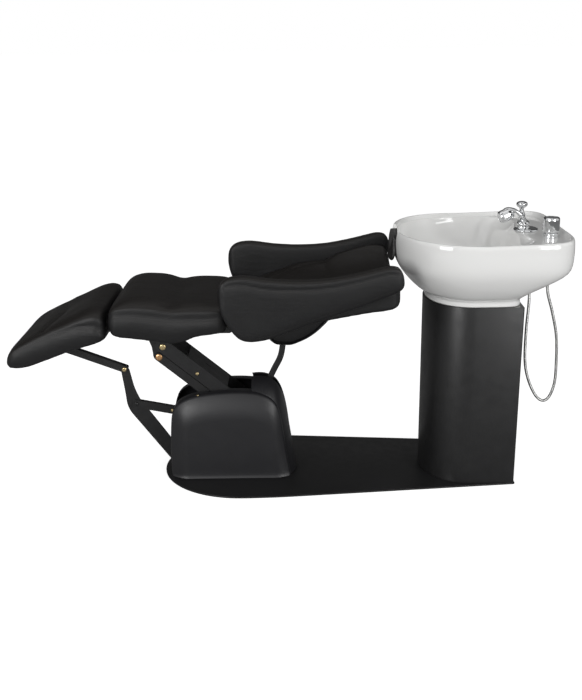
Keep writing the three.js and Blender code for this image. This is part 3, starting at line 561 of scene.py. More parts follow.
def stitches(name, pad, lines, body, pitch=0.0068, length=0.0046, radius=0.00062):
    """Rows of short thread stitches that lie on a pad's surface."""
    verts, faces = [], []
    for line in lines:
        run = np.linalg.norm(np.diff(line, axis=0), axis=1).sum()
        centres = resample(line, max(2, int(run / pitch)))
        place, up = lay(pad, centres, radius * 0.7)
        ahead = np.gradient(place, axis=0)
        for point, normal, tangent in zip(place, up, ahead):
            tangent = tangent / max(np.linalg.norm(tangent), 1e-9)
            across = np.cross(normal, tangent)
            rings = []
            for share, size in ((-1, 0.35), (-0.7, 0.9), (0, 1), (0.7, 0.9), (1, 0.35)):
                centre = point + tangent * share * length / 2
                rings.append(
                    [
                        centre + radius * size * (across * math.cos(a) + normal * math.sin(a))
                        for a in np.linspace(0, 2 * math.pi, 6, endpoint=False)
                    ]
                )
            new_verts, new_faces = skin(rings)
            base = len(verts)
            verts += new_verts
            faces += [tuple(i + base for i in f) for f in new_faces]
    obj = piece(name, verts, faces, THREAD, body)
    outward(obj)
    return obj


def upholster(name, rings, body, node, voxel, cap, seams, channels, creases=()):
    """A finished pad: even mesh, cloth swelling, seams and sewn channels, fine surface."""
    pad = surface_mesh(name, rings)
    even(pad, voxel)
    inflate(pad, cap)
    relax(pad, 2)
    if seams:
        press(pad, seams, 0.0026, 0.0035)
        press(pad, seams, 0.0016, 0.014)
    if channels:
        press(pad, channels, 0.0045, 0.006)
        press(pad, channels, 0.0060, 0.030)
    for line, depth, width in creases:
        press(pad, [line], depth, width)
    pad.data.materials.clear()
    pad.data.materials.append(LEATHER)
    pad.data.shade_smooth()
    fine = pad.modifiers.new("fine", "SUBSURF")
    fine.levels = fine.render_levels = 1
    apply_all(pad)
    pad.data.shade_smooth()
    finish_piece(pad, body, (node,))
    return pad


SEAT_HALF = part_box("seat_cushion")[1].y
LEG_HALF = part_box("leg_cushion")[1].y
BACK_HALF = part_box("back_cushion")[1].y

# side-view edges of each pad, [x, z] in millimetres
SEAT_TOP = height_curve(
    [[-786, 652], [-784, 672], [-777, 688], [-762, 701], [-738, 711], [-700, 716], [-650, 714],
     [-600, 707], [-552, 700], [-500, 701], [-440, 699], [-395, 694], [-380, 684], [-372, 668]]
)
SEAT_SEAM = height_curve(
    [[-786, 648], [-784, 655], [-775, 663], [-758, 674], [-700, 674], [-653, 669], [-590, 661],
     [-532, 656], [-470, 656], [-400, 660], [-380, 656], [-372, 645]]
)
SEAT_BOTTOM = height_curve(
    [[-786, 646], [-784, 625], [-777, 607], [-765, 598], [-700, 588], [-620, 577], [-565, 569],
     [-530, 574], [-483, 592], [-420, 601], [-385, 606], [-376, 615], [-372, 630]]
)
LEG_TOP = height_curve(
    [[-1150, 502], [-1147, 516], [-1138, 533], [-1120, 549], [-1100, 562], [-1059, 583], [-1018, 606],
     [-968, 628],
     [-944, 638], [-888, 664], [-858, 677], [-830, 684], [-810, 682], [-797, 668], [-793, 650]]
)
LEG_SEAM = height_curve(
    [[-1150, 499], [-1146, 511], [-1134, 529], [-1118, 545], [-1099, 557], [-1029, 590], [-955, 615],
     [-877, 633],
     [-834, 634], [-815, 624], [-800, 606], [-793, 598]]
)
LEG_BOTTOM = height_curve(
    [[-1150, 496], [-1142, 487], [-1128, 484], [-1092, 486], [-1013, 510], [-914, 546], [-845, 566],
     [-810, 577], [-797, 584], [-793, 592]]
)


def pad_rings(xs, half, ends, top, seam, bottom, crown, plan_corner, bulge=0.006):
    rings = []
    for x in xs:
        inset = corner(x - ends[0], plan_corner) + corner(ends[1] - x, plan_corner)
        low, high = float(bottom(x)), float(top(x))
        middle = min(max(float(seam(x)), low + 0.002), high - 0.002)
        rings.append(pad_section(x, half - bulge - inset, high, middle, low, crown, bulge))
    return rings


def side_line(xs, half, seam):
    """The seam on each side of a pad."""
    return [
        np.array([[x, side * half, float(seam(x))] for x in np.linspace(*xs, 120)])
        for side in (-1, 1)
    ]


def across_line(points, top):
    """A sewn line over the top of a pad, from [x, y] points."""
    plan = smooth_line(points, 14)
    return np.column_stack([plan, [float(top(x)) for x in plan[:, 0]]])


seat_rings = pad_rings(
    stations(-0.786, -0.372, 0.03, 0.02), SEAT_HALF, (-0.786, -0.372), SEAT_TOP, SEAT_SEAM,
    SEAT_BOTTOM, 5.0, 0.035,
)
seat_seams = side_line((-0.765, -0.40), SEAT_HALF, SEAT_SEAM)
seat_channel = across_line(
    [[-0.573, -0.196], [-0.558, -0.12], [-0.548, 0], [-0.558, 0.12], [-0.573, 0.196]], SEAT_TOP
)
seat_pad = upholster(
    "seat_pad", seat_rings, "seat", "seat_cushion", 0.006, 0.010, seat_seams, [seat_channel]
)
stitches(
    "seat_stitching", seat_pad, [line - (0, 0, 0.006) for line in seat_seams], "seat"
)

leg_rings = pad_rings(
    stations(-1.150, -0.793, 0.02, 0.02), LEG_HALF, (-1.150, -0.793), LEG_TOP, LEG_SEAM,
    LEG_BOTTOM, 5.0, 0.035,
)
leg_seams = side_line((-1.105, -0.81), LEG_HALF, LEG_SEAM)
leg_crease = across_line(
    [[-1.015, -0.18], [-0.985, -0.07], [-0.972, 0], [-0.985, 0.07], [-1.015, 0.18]], LEG_TOP
)
leg_pad = upholster(
    "leg_pad", leg_rings, "leg_rest", "leg_cushion", 0.006, 0.010, leg_seams, [leg_crease]
)
stitches("leg_stitching", leg_pad, [line - (0, 0, 0.006) for line in leg_seams], "leg_rest")

# backrest: a bucket whose sides rise towards the wings
BACK_TOP = height_curve(
    [[-322, 640], [-316, 655], [-300, 666], [-200, 690], [-120, 706], [-40, 710], [0, 714], [100, 731],
     [170, 744], [196, 744], [208, 734], [213, 720]]
)
BACK_RISE = height_curve(
    [[-322, 2], [-300, 8], [-200, 26], [-60, 44], [0, 56], [60, 66], [120, 70], [190, 62], [213, 40]]
)
BACK_BOTTOM = height_curve(
    [[-322, 634], [-316, 622], [-298, 606], [-200, 619], [-100, 635], [0, 653], [100, 670], [188, 684],
     [206, 694], [213, 708]]
)


def back_section(x):
    half = BACK_HALF - 0.001 - corner(x + 0.322, 0.02) - corner(0.213 - x, 0.03)
    low = float(BACK_BOTTOM(x))
    high = float(BACK_TOP(x))
    rise = float(BACK_RISE(x))
    across = np.linspace(1, -1, 81)
    over = np.stack([across * half, high + rise * np.abs(across) ** 3.2], 1)
    roll = np.clip((np.abs(across) - 0.94) / 0.06, 0, 1)
    over[:, 1] -= 0.012 * (1 - np.sqrt(1 - roll**2))
    over = resample(over, 61)
    left = resample([over[-1], (-half, low + 0.004), (-half + 0.006, low)], 13)
    right = left[::-1] * (-1, 1)
    under = np.stack([np.linspace(-half + 0.006, half - 0.006, 41), np.full(41, low)], 1)
    loop = np.vstack([over, left[1:], under[1:-1], right[:-1]])
    return np.column_stack([np.full(len(loop), x), loop])


back_rings = [back_section(x) for x in stations(-0.322, 0.213, 0.022, 0.02)]


def on_back(points):
    plan = smooth_line(points, 14)
    heights = [
        float(BACK_TOP(x)) + float(BACK_RISE(x)) * abs(y / BACK_HALF) ** 3.2 for x, y in plan
    ]
    return np.column_stack([plan, heights])


lumbar_seam = on_back([[-0.035, -0.236], [-0.028, -0.12], [-0.022, 0], [-0.028, 0.12], [-0.035, 0.236]])
back_sides = [
    on_back(
        [[-0.30, 0.165 * s], [-0.24, 0.182 * s], [-0.16, 0.203 * s], [-0.06, 0.224 * s], [0.0, 0.236 * s]]
    )
    for s in (-1, 1)
]
back_pad = upholster(
    "back_pad", back_rings, "backrest", "back_cushion", 0.006, 0.007, back_sides, [lumbar_seam]
)
stitches(
    "back_stitching",
    back_pad,
    [lumbar_seam + (0.005, 0, 0)] + [line + (0, -0.005 * s, 0) for s, line in zip((-1, 1), back_sides)],
    "backrest",
)

# wings
WING_TOP = height_curve(
    [[-402, 735], [-400, 765], [-392, 787], [-376, 803], [-352, 812], [-320, 815], [-280, 811],
     [-235, 804], [-180, 799], [-127, 797], [-70, 798], [-30, 801], [30, 810], [84, 821], [140, 834],
     [172, 840], [192, 838], [208, 826], [217, 806], [221, 780]]
)
WING_BOTTOM = height_curve(
    [[-402, 733], [-396, 705], [-384, 672], [-368, 642], [-350, 616], [-334, 600], [-315, 591],
     [-290, 588], [-243, 594], [-170, 619], [-101, 645], [2, 681], [80, 708], [150, 735], [190, 750],
     [208, 759], [217, 767], [221, 776]]
)
WING_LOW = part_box("wing_right")[0].y
WING_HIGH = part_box("wing_right")[1].y


def wing_section(x, side):
    """A panel about as thick as the wing, rounded over its top edge and softly underneath."""
    top, bottom = float(WING_TOP(x)), float(WING_BOTTOM(x))
    thin = corner(x + 0.402, 0.024) + corner(0.221 - x, 0.024)
    inner, outer = WING_LOW + thin, WING_HIGH - 0.003 - thin
    over = min(0.025 - thin * 0.8, (top - bottom) / 2.05)
    under = min(0.013, (top - bottom) / 2.05)
    line = rounded(
        [[(inner + outer) / 2, top], [outer, top], [outer, bottom], [inner, bottom], [inner, top],
         [(inner + outer) / 2, top]],
        [0, over, under, under, over, 0],
        8,
    )
    loop = resample(line, 121)[:-1] * (side, 1)
    return np.column_stack([np.full(len(loop), x), loop])


def wing(name, side):
    rings = [wing_section(x, side) for x in stations(-0.402, 0.221, 0.03, 0.025)]
    outer = side * WING_HIGH
    upper = np.array(
        [
            [x, outer, float(WING_TOP(x)) - float(np.interp(x, (-0.37, -0.25, 0.19), (0.020, 0.030, 0.020)))]
            for x in np.linspace(-0.372, 0.196, 150)
        ]
    )
    lower = np.array([[x, outer, float(WING_BOTTOM(x)) + 0.010] for x in np.linspace(-0.27, 0.19, 120)])
    pad = upholster(
        name, rings, "backrest", name.replace("_pad", ""), 0.006, 0.006, [upper, lower], []
    )
    stitches(
        name + "_stitching", pad, [upper - (0, 0, 0.005), lower + (0, 0, 0.005)], "backrest"
    )
    return pad


wing("wing_left_pad", -1)
wing("wing_right_pad", 1)

# the soft fold of leatherette between seat and backrest, over their hinge
def hinge_gusset():
    rings = []
    for x, low, high, half in (
        (-0.392, 0.632, 0.640, 0.196), (-0.388, 0.626, 0.652, 0.204), (-0.372, 0.622, 0.664, 0.208),
        (-0.352, 0.624, 0.661, 0.208), (-0.332, 0.622, 0.658, 0.208), (-0.312, 0.622, 0.652, 0.206),
        (-0.304, 0.630, 0.640, 0.200),
    ):
        line = rounded(
            [[0, high], [half, high], [half, low], [-half, low], [-half, high], [0, high]],
            [0, 0.014, 0.014, 0.014, 0.014, 0],
            6,
        )
        loop = resample(line, 121)[:-1]
        sag = 0.004 * np.sin(loop[:, 0] * 60) * (1 if abs(x + 0.35) < 0.03 else 0.3)
        rings.append(np.column_stack([np.full(len(loop), x), loop[:, 0], loop[:, 1] + sag]))
    gusset = surface_mesh("hinge_gusset", rings)
    gusset.data.materials.append(LEATHER)
    fine = gusset.modifiers.new("fine", "SUBSURF")
    fine.levels = fine.render_levels = 2
    apply_all(gusset)
    gusset.data.shade_smooth()
    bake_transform(gusset)


hinge_gusset()


# ---------------------------------------------------------------- metal, turned and piped pieces
def lathe(
    name, profile, origin, material, body, stands_for=(), axis=(0, 0, 1), segments=72, ring=False
):
    """A turned piece; a ring's profile closes on itself, so its bore stays open."""
    verts, faces = skin(turned(profile, segments), closed_loop=ring)
    obj = piece(name, verts, faces, material, None, (), 40)
    placed(obj, origin, axis)
    outward(obj)
    finish_piece(obj, body, stands_for)
    return obj


def flat_profile(points, radius=0.0012, steps=4):
    """A turned profile with softened corners."""
    return [tuple(p) for p in rounded(points, radius, steps)]


def tube(name, path, radii, material, body, stands_for=(), sides=16, angle=60):
    """A round tube along a path with a radius at each point."""
    path = np.asarray(path, float)
    tangents = np.gradient(path, axis=0)
    tangents /= np.linalg.norm(tangents, axis=1, keepdims=True)
    side = np.cross(tangents[0], (0.0, 1.0, 0.3))
    rings = []
    for point, tangent, radius in zip(path, tangents, radii):
        side = side - tangent * (side @ tangent)
        side /= np.linalg.norm(side)
        up = np.cross(tangent, side)
        turn = np.linspace(0, 2 * math.pi, sides, endpoint=False)
        rings.append(point + radius * (np.outer(np.cos(turn), side) + np.outer(np.sin(turn), up)))
    verts, faces = skin(rings)
    obj = piece(name, verts, faces, material, body, stands_for, angle)
    outward(obj)
    return obj


def bolt(node, shank, body, head=None, material=ZINC):
    """A bolt along Y in place of a CAD pin: shank, domed heads and washers where the pin has heads."""
    low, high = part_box(node)
    centre = ((low.x + high.x) / 2, 0, (low.z + high.z) / 2)
    half = (high.y - low.y) / 2
    if head is None:
        profile = flat_profile([[0, -half], [shank, -half], [shank, half], [0, half]])
    else:
        profile = flat_profile(
            [
                [0, -half], [head * 0.62, -half], [head * 0.93, -half + 0.0016], [head, -half + 0.004],
                [head, -half + 0.0044], [shank, -half + 0.0044], [shank, half - 0.0044],
                [head, half - 0.0044], [head, half - 0.004], [head * 0.93, half - 0.0016],
                [head * 0.62, half], [0, half],
            ],
            0.0007,
        )
    lathe(
        node + "_turned", profile, (centre[0], (low.y + high.y) / 2, centre[2]), material, body,
        (node,), (0, 1, 0), 40,
    )


for node, shank, head, body, material in (
    ("upper_arm_shaft", 9, 14, "base", ZINC),
    ("back_link_shaft", 7, 11, "base", ZINC),
    ("actuator_rear_pin", 6, 10, "base", ZINC),
    ("lower_arm_pin_left", 8, 12, "base", ZINC),
    ("lower_arm_pin_right", 8, 12, "base", ZINC),
    ("strut_inner_bolt", 4, 6.5, "base", ZINC),
    ("leg_link_lower_pin", 6, 9, "base", ZINC),
    ("leg_link_upper_pin", 5, 8, "leg_link_arm", ZINC),
    ("channel_cross_bolt", 4, 7, "upper_arm", ZINC),
    ("seat_upper_shaft", 8, 12, "upper_arm", ZINC),
    ("crank_pin", 6, 10, "upper_arm", ZINC),
    ("seat_lower_shaft", 9, 13, "seat", COPPER),
    ("back_hinge_rod", 7, 11, "seat", ZINC),
    ("leg_hinge_rod", 6, 10, "seat", ZINC),
    ("strut_outer_bolt", 5, 8, "base", STEEL_BLACK),
    ("back_link_upper_pin", 5, None, "back_link_arm", ZINC),
):
    bolt(node, shank * MM, body, head * MM if head else None, material)

# ---------------------------------------------------------------- floor plate and pedestal
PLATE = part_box("floor_plate")
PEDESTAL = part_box("pedestal_shell")


def half_ellipse(centre, reach, half, count):
    """Plan points of the curved front of an outline, from +Y round to -Y."""
    turn = np.linspace(math.pi / 2, 1.5 * math.pi, count)
    return [(centre + reach * math.cos(a), half * math.sin(a)) for a in turn]


def plan_shell(name, levels, material, body, stands_for, angle=30):
    """A closed loop of plan rings, [z, outline]."""
    rings = [[(x, y, z) for x, y in outline] for z, outline in levels]
    verts, faces = skin(rings, closed_ends=False, closed_loop=True)
    obj = piece(name, verts, faces, material, None, (), angle)
    outward(obj)
    finish_piece(obj, body, stands_for)
    return obj


def floor_plate():
    """The plate's outline: round nose, a widest section, then straight sides that close in to the rear."""
    low, high = PLATE
    nose, bend, rear_half = 0.300, 0.096, 0.187
    wide = low.x + nose
    slope = (high.y - rear_half) / (high.x - wide - bend)

    def outline(inset):
        half = high.y - inset
        points = half_ellipse(wide, nose - inset, half, 97)
        lead = [
            np.array([wide + 2 * bend, half - slope * bend]),
            np.array([wide + bend, half]),
            np.array([wide, half]),
        ]
        curved = [
            tuple((1 - t) ** 2 * lead[0] + 2 * t * (1 - t) * lead[1] + t * t * lead[2])
            for t in np.linspace(0, 1, 14)[:-1]
        ]
        edge = [
            (high.x - inset, rear_half - inset - 0.004),
            (high.x - inset - 0.004, rear_half - inset),
        ]
        left = edge + curved
        return left + points + [(x, -y) for x, y in left[::-1]]

    levels = [(low.z, 0.0008), (low.z + 0.0008, 0), (high.z - 0.0012, 0), (high.z - 0.0004, 0.0005),
              (high.z, 0.0014)]
    rings = [[(x, y, z) for x, y in outline(inset)] for z, inset in levels]
    count = len(rings[0])
    verts, faces = skin(rings, closed_ends=False)
    faces.append(tuple(range(count))[::-1])
    faces.append(tuple(range((len(rings) - 1) * count, len(rings) * count)))
    obj = piece("floor_plate_sheet", verts, faces, STEEL_BLACK, None, (), 30)
    outward(obj)
    finish_piece(obj, "base", ("floor_plate",))


floor_plate()


def pedestal():
    low, high = PEDESTAL
    straight, wall, fillet = 0.482, 0.003, 0.007

    def outline(inset):
        half = high.y - inset
        rear = high.x - inset
        turn = np.linspace(-math.pi / 2, 0, 7)
        corner_points = [
            (rear - fillet + fillet * math.cos(a), -half + fillet + fillet * math.sin(a)) for a in turn
        ]
        front = half_ellipse(straight, straight - low.x - inset, half, 81)
        return corner_points + [(x, -y) for x, y in corner_points[::-1]] + front

    levels = [
        (low.z, outline(0.001)), (low.z + 0.001, outline(0)), (high.z - 0.002, outline(0)),
        (high.z - 0.0006, outline(0.0005)), (high.z, outline(0.0016)), (high.z - 0.001, outline(wall)),
        (low.z + 0.001, outline(wall)),
    ]
    shell = plan_shell("pedestal_skin", levels, STEEL_BLACK, None, ())
    panel_low, panel_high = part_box("pedestal_access_panel")
    opening = bpy.data.meshes.new("opening")
    work = bmesh.new()
    bmesh.ops.create_cube(work, size=1)
    work.to_mesh(opening)
    work.free()
    cutter = bpy.data.objects.new("opening", opening)
    bpy.context.scene.collection.objects.link(cutter)
    cutter.scale = (0.03, panel_high.y - panel_low.y + 0.002, panel_high.z - panel_low.z + 0.002)
    cutter.location = (panel_high.x, 0, (panel_low.z + panel_high.z) / 2)
    bpy.context.view_layer.update()
    hole = shell.modifiers.new("hole", "BOOLEAN")
    hole.operation = "DIFFERENCE"
    hole.object = cutter
    apply_all(shell)
    bpy.data.objects.remove(cutter)
    shade(shell, 30)
    finish_piece(shell, "base", ("pedestal_shell",))
    for number, (y, z) in enumerate(
        (side * (panel_high.y - 0.014), level)
        for side in (-1, 1)
        for level in (panel_low.z + 0.014, (panel_low.z + panel_high.z) / 2, panel_high.z - 0.014)
    ):
        lathe(
            f"panel_screw_{number + 1}",
            flat_profile([[0, 0], [0.0055, 0], [0.0055, 0.0008], [0.0035, 0.0024], [0, 0.0027]], 0.0005),
            (panel_high.x, y, z), STEEL_BLACK, "base", (), (1, 0, 0), 24,
        )


pedestal()

# ---------------------------------------------------------------- basin
BASIN_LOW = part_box("basin")[0]
FOOT = BASIN_LOW.z
RIM = 0.912
SHELF = 0.8973
MIDDLE = 0.490
DRAIN = (0.500, 0.0)
# the trough for the neck: an ellipse about this height
NECK_CROWN = RIM + 0.004
NECK_HALF = 0.071
NECK_DEPTH = 0.085
HEM_ROUND = 0.004  # how far the rounded hem hangs below the apron's faces
ANGLES = [a + 0.55 * math.sin(a) for a in np.linspace(0, 2 * math.pi, 200, endpoint=False)]


def signed_power(value, power):
    return math.copysign(abs(value) ** power, value)


def basin_ring(z, front, rear, half, front_power, rear_power, middle=MIDDLE):
    """A plan ring: a rounder front half and a squarer rear half that meet at the widest section."""
    ring = []
    for angle in ANGLES:
        power = 2 / (rear_power if math.cos(angle) > 0 else front_power)
        reach = rear - middle if math.cos(angle) > 0 else middle - front
        ring.append(
            (
                middle + reach * signed_power(math.cos(angle), power),
                half * signed_power(math.sin(angle), power),
                z,
            )
        )
    return np.array(ring)


def between(first, second, share):
    return first * (1 - share) + second * share


def round_ring(z, radius):
    return np.array(
        [(DRAIN[0] + radius * math.cos(a), DRAIN[1] + radius * math.sin(a), z) for a in ANGLES]
    )


def basin():
    square, deep = 6.4, 5.6
    outside = [
        basin_ring(FOOT, 0.322, 0.636, 0.182, 2.1, 7, 0.482),
        basin_ring(FOOT + 0.002, 0.3205, 0.6375, 0.1835, 2.1, 7, 0.482),
        basin_ring(FOOT + 0.010, 0.3205, 0.6375, 0.1835, 2.1, 7, 0.482),
        basin_ring(FOOT + 0.018, 0.322, 0.636, 0.183, 2.1, 6.5, 0.482),
        basin_ring(FOOT + 0.023, 0.318, 0.636, 0.189, 2.15, 6.3, 0.483),
        basin_ring(FOOT + 0.030, 0.306, 0.641, 0.203, 2.2, 6.0, 0.486),
        basin_ring(0.712, 0.286, 0.656, 0.220, 2.3, 5.4),
        basin_ring(0.740, 0.257, 0.701, 0.247, 2.3, deep),
        basin_ring(0.770, 0.233, 0.752, 0.271, 2.3, 5.8),
        basin_ring(0.796, 0.217, 0.784, 0.288, 2.3, 6.2),
        basin_ring(0.822, 0.209, 0.7905, 0.298, 2.3, square),
        basin_ring(0.870, 0.2035, 0.7915, 0.3015, 2.3, square),
        basin_ring(0.895, 0.2045, 0.7905, 0.3005, 2.3, square),
        basin_ring(RIM - 0.005, 0.2055, 0.7893, 0.2993, 2.3, square),
        basin_ring(RIM - 0.001, 0.2085, 0.7865, 0.2965, 2.3, square),
        basin_ring(RIM, 0.212, 0.783, 0.293, 2.3, square),
        basin_ring(RIM - 0.001, 0.2155, 0.7795, 0.2895, 2.3, square),
        basin_ring(RIM - 0.005, 0.218, 0.777, 0.287, 2.3, square),
    ]
    wall_foot = basin_ring(SHELF + 0.003, 0.2195, 0.7745, 0.2855, 2.3, 6.2)
    shelf_back = basin_ring(SHELF, 0.221, 0.768, 0.283, 2.3, 6.0)
    edge = basin_ring(SHELF, 0.222, 0.640, 0.281, 2.3, 3.6)
    for point in edge:
        if point[0] > MIDDLE:
            point[0] += 0.028 * math.exp(-(((abs(point[1]) - 0.17) / 0.075) ** 2))
    lip = edge.copy()
    lip[:, 2] -= 0.006
    lip[:, 0] -= np.where(lip[:, 0] > MIDDLE, 0.005, -0.001)
    shelf = [between(shelf_back, edge, t) for t in (0, 0.12, 0.35, 0.6, 0.85, 0.96)]
    for ring in shelf[1:]:
        ring[:, 2] = SHELF
    inside = [
        wall_foot,
        *shelf,
        between(edge, lip, 0.3),
        lip,
        basin_ring(0.872, 0.2245, 0.632, 0.277, 2.3, 3.3),
        basin_ring(0.850, 0.230, 0.627, 0.268, 2.3, 3.1),
        basin_ring(0.820, 0.243, 0.619, 0.250, 2.3, 2.9),
        basin_ring(0.790, 0.264, 0.608, 0.224, 2.25, 2.7),
        basin_ring(0.765, 0.298, 0.595, 0.186, 2.2, 2.5),
        basin_ring(0.748, 0.345, 0.580, 0.142, 2.15, 2.3, 0.492),
        basin_ring(0.739, 0.395, 0.563, 0.100, 2.1, 2.1, 0.497),
        round_ring(0.7355, 0.056),
        round_ring(0.7335, 0.036),
        round_ring(0.7325, 0.027),
        round_ring(0.728, 0.0255),
        round_ring(0.706, 0.0255),
    ]
    underside = [
        round_ring(0.703, 0.030),
        basin_ring(FOOT + 0.034, 0.380, 0.580, 0.118, 2.1, 3, 0.482),
        basin_ring(FOOT + 0.018, 0.350, 0.608, 0.152, 2.1, 6, 0.482),
        basin_ring(FOOT, 0.345, 0.612, 0.158, 2.1, 6, 0.482),
    ]
    points = np.array(outside + inside + underside)
    # the rim dips a little along the sides and rises towards the back
    near_rim = np.clip((points[..., 2] - 0.86) / 0.04, 0, 1)
    saddle = np.interp(points[..., 0], (0.20, 0.30, 0.49, 0.66, 0.79), (0, -0.002, -0.006, -0.001, 0.003))
    on_side = np.clip(np.abs(points[..., 1]) / 0.2, 0, 1)
    rim_part = (points[..., 2] > SHELF + 0.001) | (points[..., 0] < 0.6)
    points[..., 2] += near_rim * saddle * rim_part * on_side
    # the trough for the neck, cut down through the front wall
    y = np.clip(np.abs(points[..., 1]) / NECK_HALF, 0, 1)
    cut = NECK_CROWN - NECK_DEPTH * np.sqrt(1 - y**2)
    front = points[..., 0] < 0.36
    trough = front & (np.abs(points[..., 1]) < NECK_HALF) & (points[..., 2] > cut)
    points[..., 2] = np.where(trough, cut, points[..., 2])
    verts, faces = skin(list(points), closed_ends=False, closed_loop=True)
    bowl = piece("basin_glazed", verts, faces, CERAMIC, None)
    outward(bowl)
    fine = bowl.modifiers.new("fine", "SUBSURF")
    fine.levels = fine.render_levels = 1
    apply_all(bowl)
    bowl.data.shade_smooth()
    finish_piece(bowl, "base", ("basin",))


basin()


def neck_rest():
    """A rubber saddle: a lining in the trough and a curved apron that hangs down the basin's front."""
    low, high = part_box("neck_rest")
    half, depth = NECK_HALF - 0.002, NECK_DEPTH - 0.002
    top, hem, apron_half = 0.899, low.z + HEM_ROUND, high.y
    highest = math.acos((NECK_CROWN - top) / depth)

    def basin_front(y):
        return MIDDLE - 0.2865 * (1 - (abs(y) / 0.301) ** 2.3) ** (1 / 2.3) - 0.0015

    rings = []
    for share in np.linspace(-1, 1, 81):
        angle = share * highest
        y, z = math.sin(angle), -math.cos(angle)
        normal = np.array([y / half, z / depth])
        normal /= np.linalg.norm(normal)

        def lining(x, off):
            return (x, half * y + normal[0] * off, NECK_CROWN + depth * z + normal[1] * off)

        edge_y = apron_half * math.copysign(abs(share) ** 0.92, share)
        lowest = hem + 0.012 * abs(share) ** 6
        thick = 0.0145 - 0.005 * abs(share) ** 4
        crest = np.array(lining(0, -0.0125)[1:])
        foot = np.array([edge_y, lowest])
        line = []
        front_x = basin_front(edge_y) - thick
        for t in np.linspace(0, 1, 9)[1:]:
            across = crest * (1 - t) + foot * t
            hollow = 0.004 * math.sin(math.pi * t) * (1 - abs(share) ** 3)
            line.append((front_x + hollow + 0.002 * (1 - t), across[0], across[1]))
        hem_x = front_x + thick / 2
        back = []
        under = np.array(lining(0, -0.0005)[1:])
        for t in np.linspace(0, 1, 7)[:-1]:
            across = foot * (1 - t) + under * t
            back.append((front_x + thick, across[0], across[1]))
        ring = [
            lining(high.x, -0.0005), lining(high.x, -0.0055), lining(high.x - 0.004, -0.0095),
            lining(high.x - 0.010, -0.0120), lining(high.x - 0.016, -0.0125),
            lining(front_x + 0.012, -0.0125),
            lining(front_x + 0.006, -0.0118), lining(front_x + 0.0025, -0.0085), *line[1:],
            (hem_x, foot[0], lowest - HEM_ROUND), *back[1:],
            lining(front_x + thick + 0.001, -0.0005), lining(high.x - 0.012, -0.0005),
        ]
        rings.append(ring)
    verts, faces = skin(rings)
    saddle = piece("neck_saddle", verts, faces, RUBBER, None)
    outward(saddle)
    fine = saddle.modifiers.new("fine", "SUBSURF")
    fine.levels = fine.render_levels = 1
    apply_all(saddle)
    saddle.data.shade_smooth()
    finish_piece(saddle, "neck_support", ("neck_rest",))


neck_rest()

# ---------------------------------------------------------------- tap, shower and waste
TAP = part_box("mixer_body")
TAP_X = TAP[1].x - 0.044
PIVOT = ((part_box("mixer_cap")[0].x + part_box("mixer_cap")[1].x) / 2, 0.0, 0.932)


def mm(points):
    return [[a * MM, b * MM] for a, b in points]


lathe(
    "tap_flange",
    flat_profile(mm([[0, 897.4], [43, 897.4], [44, 900], [42, 904], [36, 906.5], [0, 907]]), 0.001),
    (TAP_X, 0, 0), CHROME, "base", ("mixer_body",),
)
lathe(
    "tap_boss",
    flat_profile(mm([[0, 900], [25, 900], [24, 905], [22, 909], [21.5, 914], [0, 914]]), 0.0014),
    (PIVOT[0], 0, 0), CHROME, "base", (),
)
lathe(
    "tap_tail", flat_profile(mm([[0, 790], [14, 790], [14, 898], [0, 898]]), 0.001),
    (TAP_X, 0, 0), CHROME, "base", (), segments=32,
)
lathe(
    "tap_cap",
    flat_profile(
        mm([[14, 914.6], [21.5, 914.6], [22.4, 917], [22, 923], [19.6, 929], [16.5, 931.5], [14, 930]]),
        0.0012,
    ),
    (PIVOT[0], 0, 0), CHROME, "temperature_ring", ("mixer_cap",), ring=True,
)


def lever():
    """The arched handle with its barrel-shaped grip, one chrome body."""
    spine = smooth_line(
        mm([[668, 921], [660, 938], [647, 954], [628, 967], [606, 972], [592, 968]]), 9
    )
    rings = []
    total = len(spine)
    tangents = np.gradient(spine, axis=0)
    tangents /= np.linalg.norm(tangents, axis=1, keepdims=True)
    for number, (point, tangent) in enumerate(zip(spine, tangents)):
        share = number / (total - 1)
        wide = 0.0105 + 0.0065 * math.sin(math.pi * min(1, share * 1.1))
        deep = 0.0078 - 0.0010 * share
        if number == 0:
            wide, deep = wide * 0.72, deep * 0.72
        normal = np.array([-tangent[1], tangent[0]])
        ring = []
        for a in np.linspace(0, 2 * math.pi, 32, endpoint=False):
            side = wide * signed_power(math.cos(a), 0.75)
            rise = deep * signed_power(math.sin(a), 0.75)
            ring.append((point[0] + normal[0] * rise, side, point[1] + normal[1] * rise))
        rings.append(ring)
    verts, faces = skin(rings)
    arch = piece("lever_arch", verts, faces, CHROME, None, (), 40)
    outward(arch)
    finish_piece(arch, "lever", ("mixer_lever",))
    lathe(
        "lever_grip",
        flat_profile(
            mm([[0, -29], [9, -28], [17, -24], [21, -17], [22.5, -8], [22.5, 12], [21.5, 19], [19, 23.5],
                [16.6, 24.6], [15.8, 23.0], [0, 22.6]]), 0.0016, 5,
        ),
        (0.598, 0, 0.9515), CHROME, "lever", (), (-0.92, -0.16, -0.36), 56,
    )
    lathe(
        "lever_ball", flat_profile(mm([[0, -13], [9.2, -9.2], [13, 0], [9.2, 9.2], [0, 13]]), 0.0045, 6),
        PIVOT, CHROME, "lever", (), segments=40,
    )


lever()

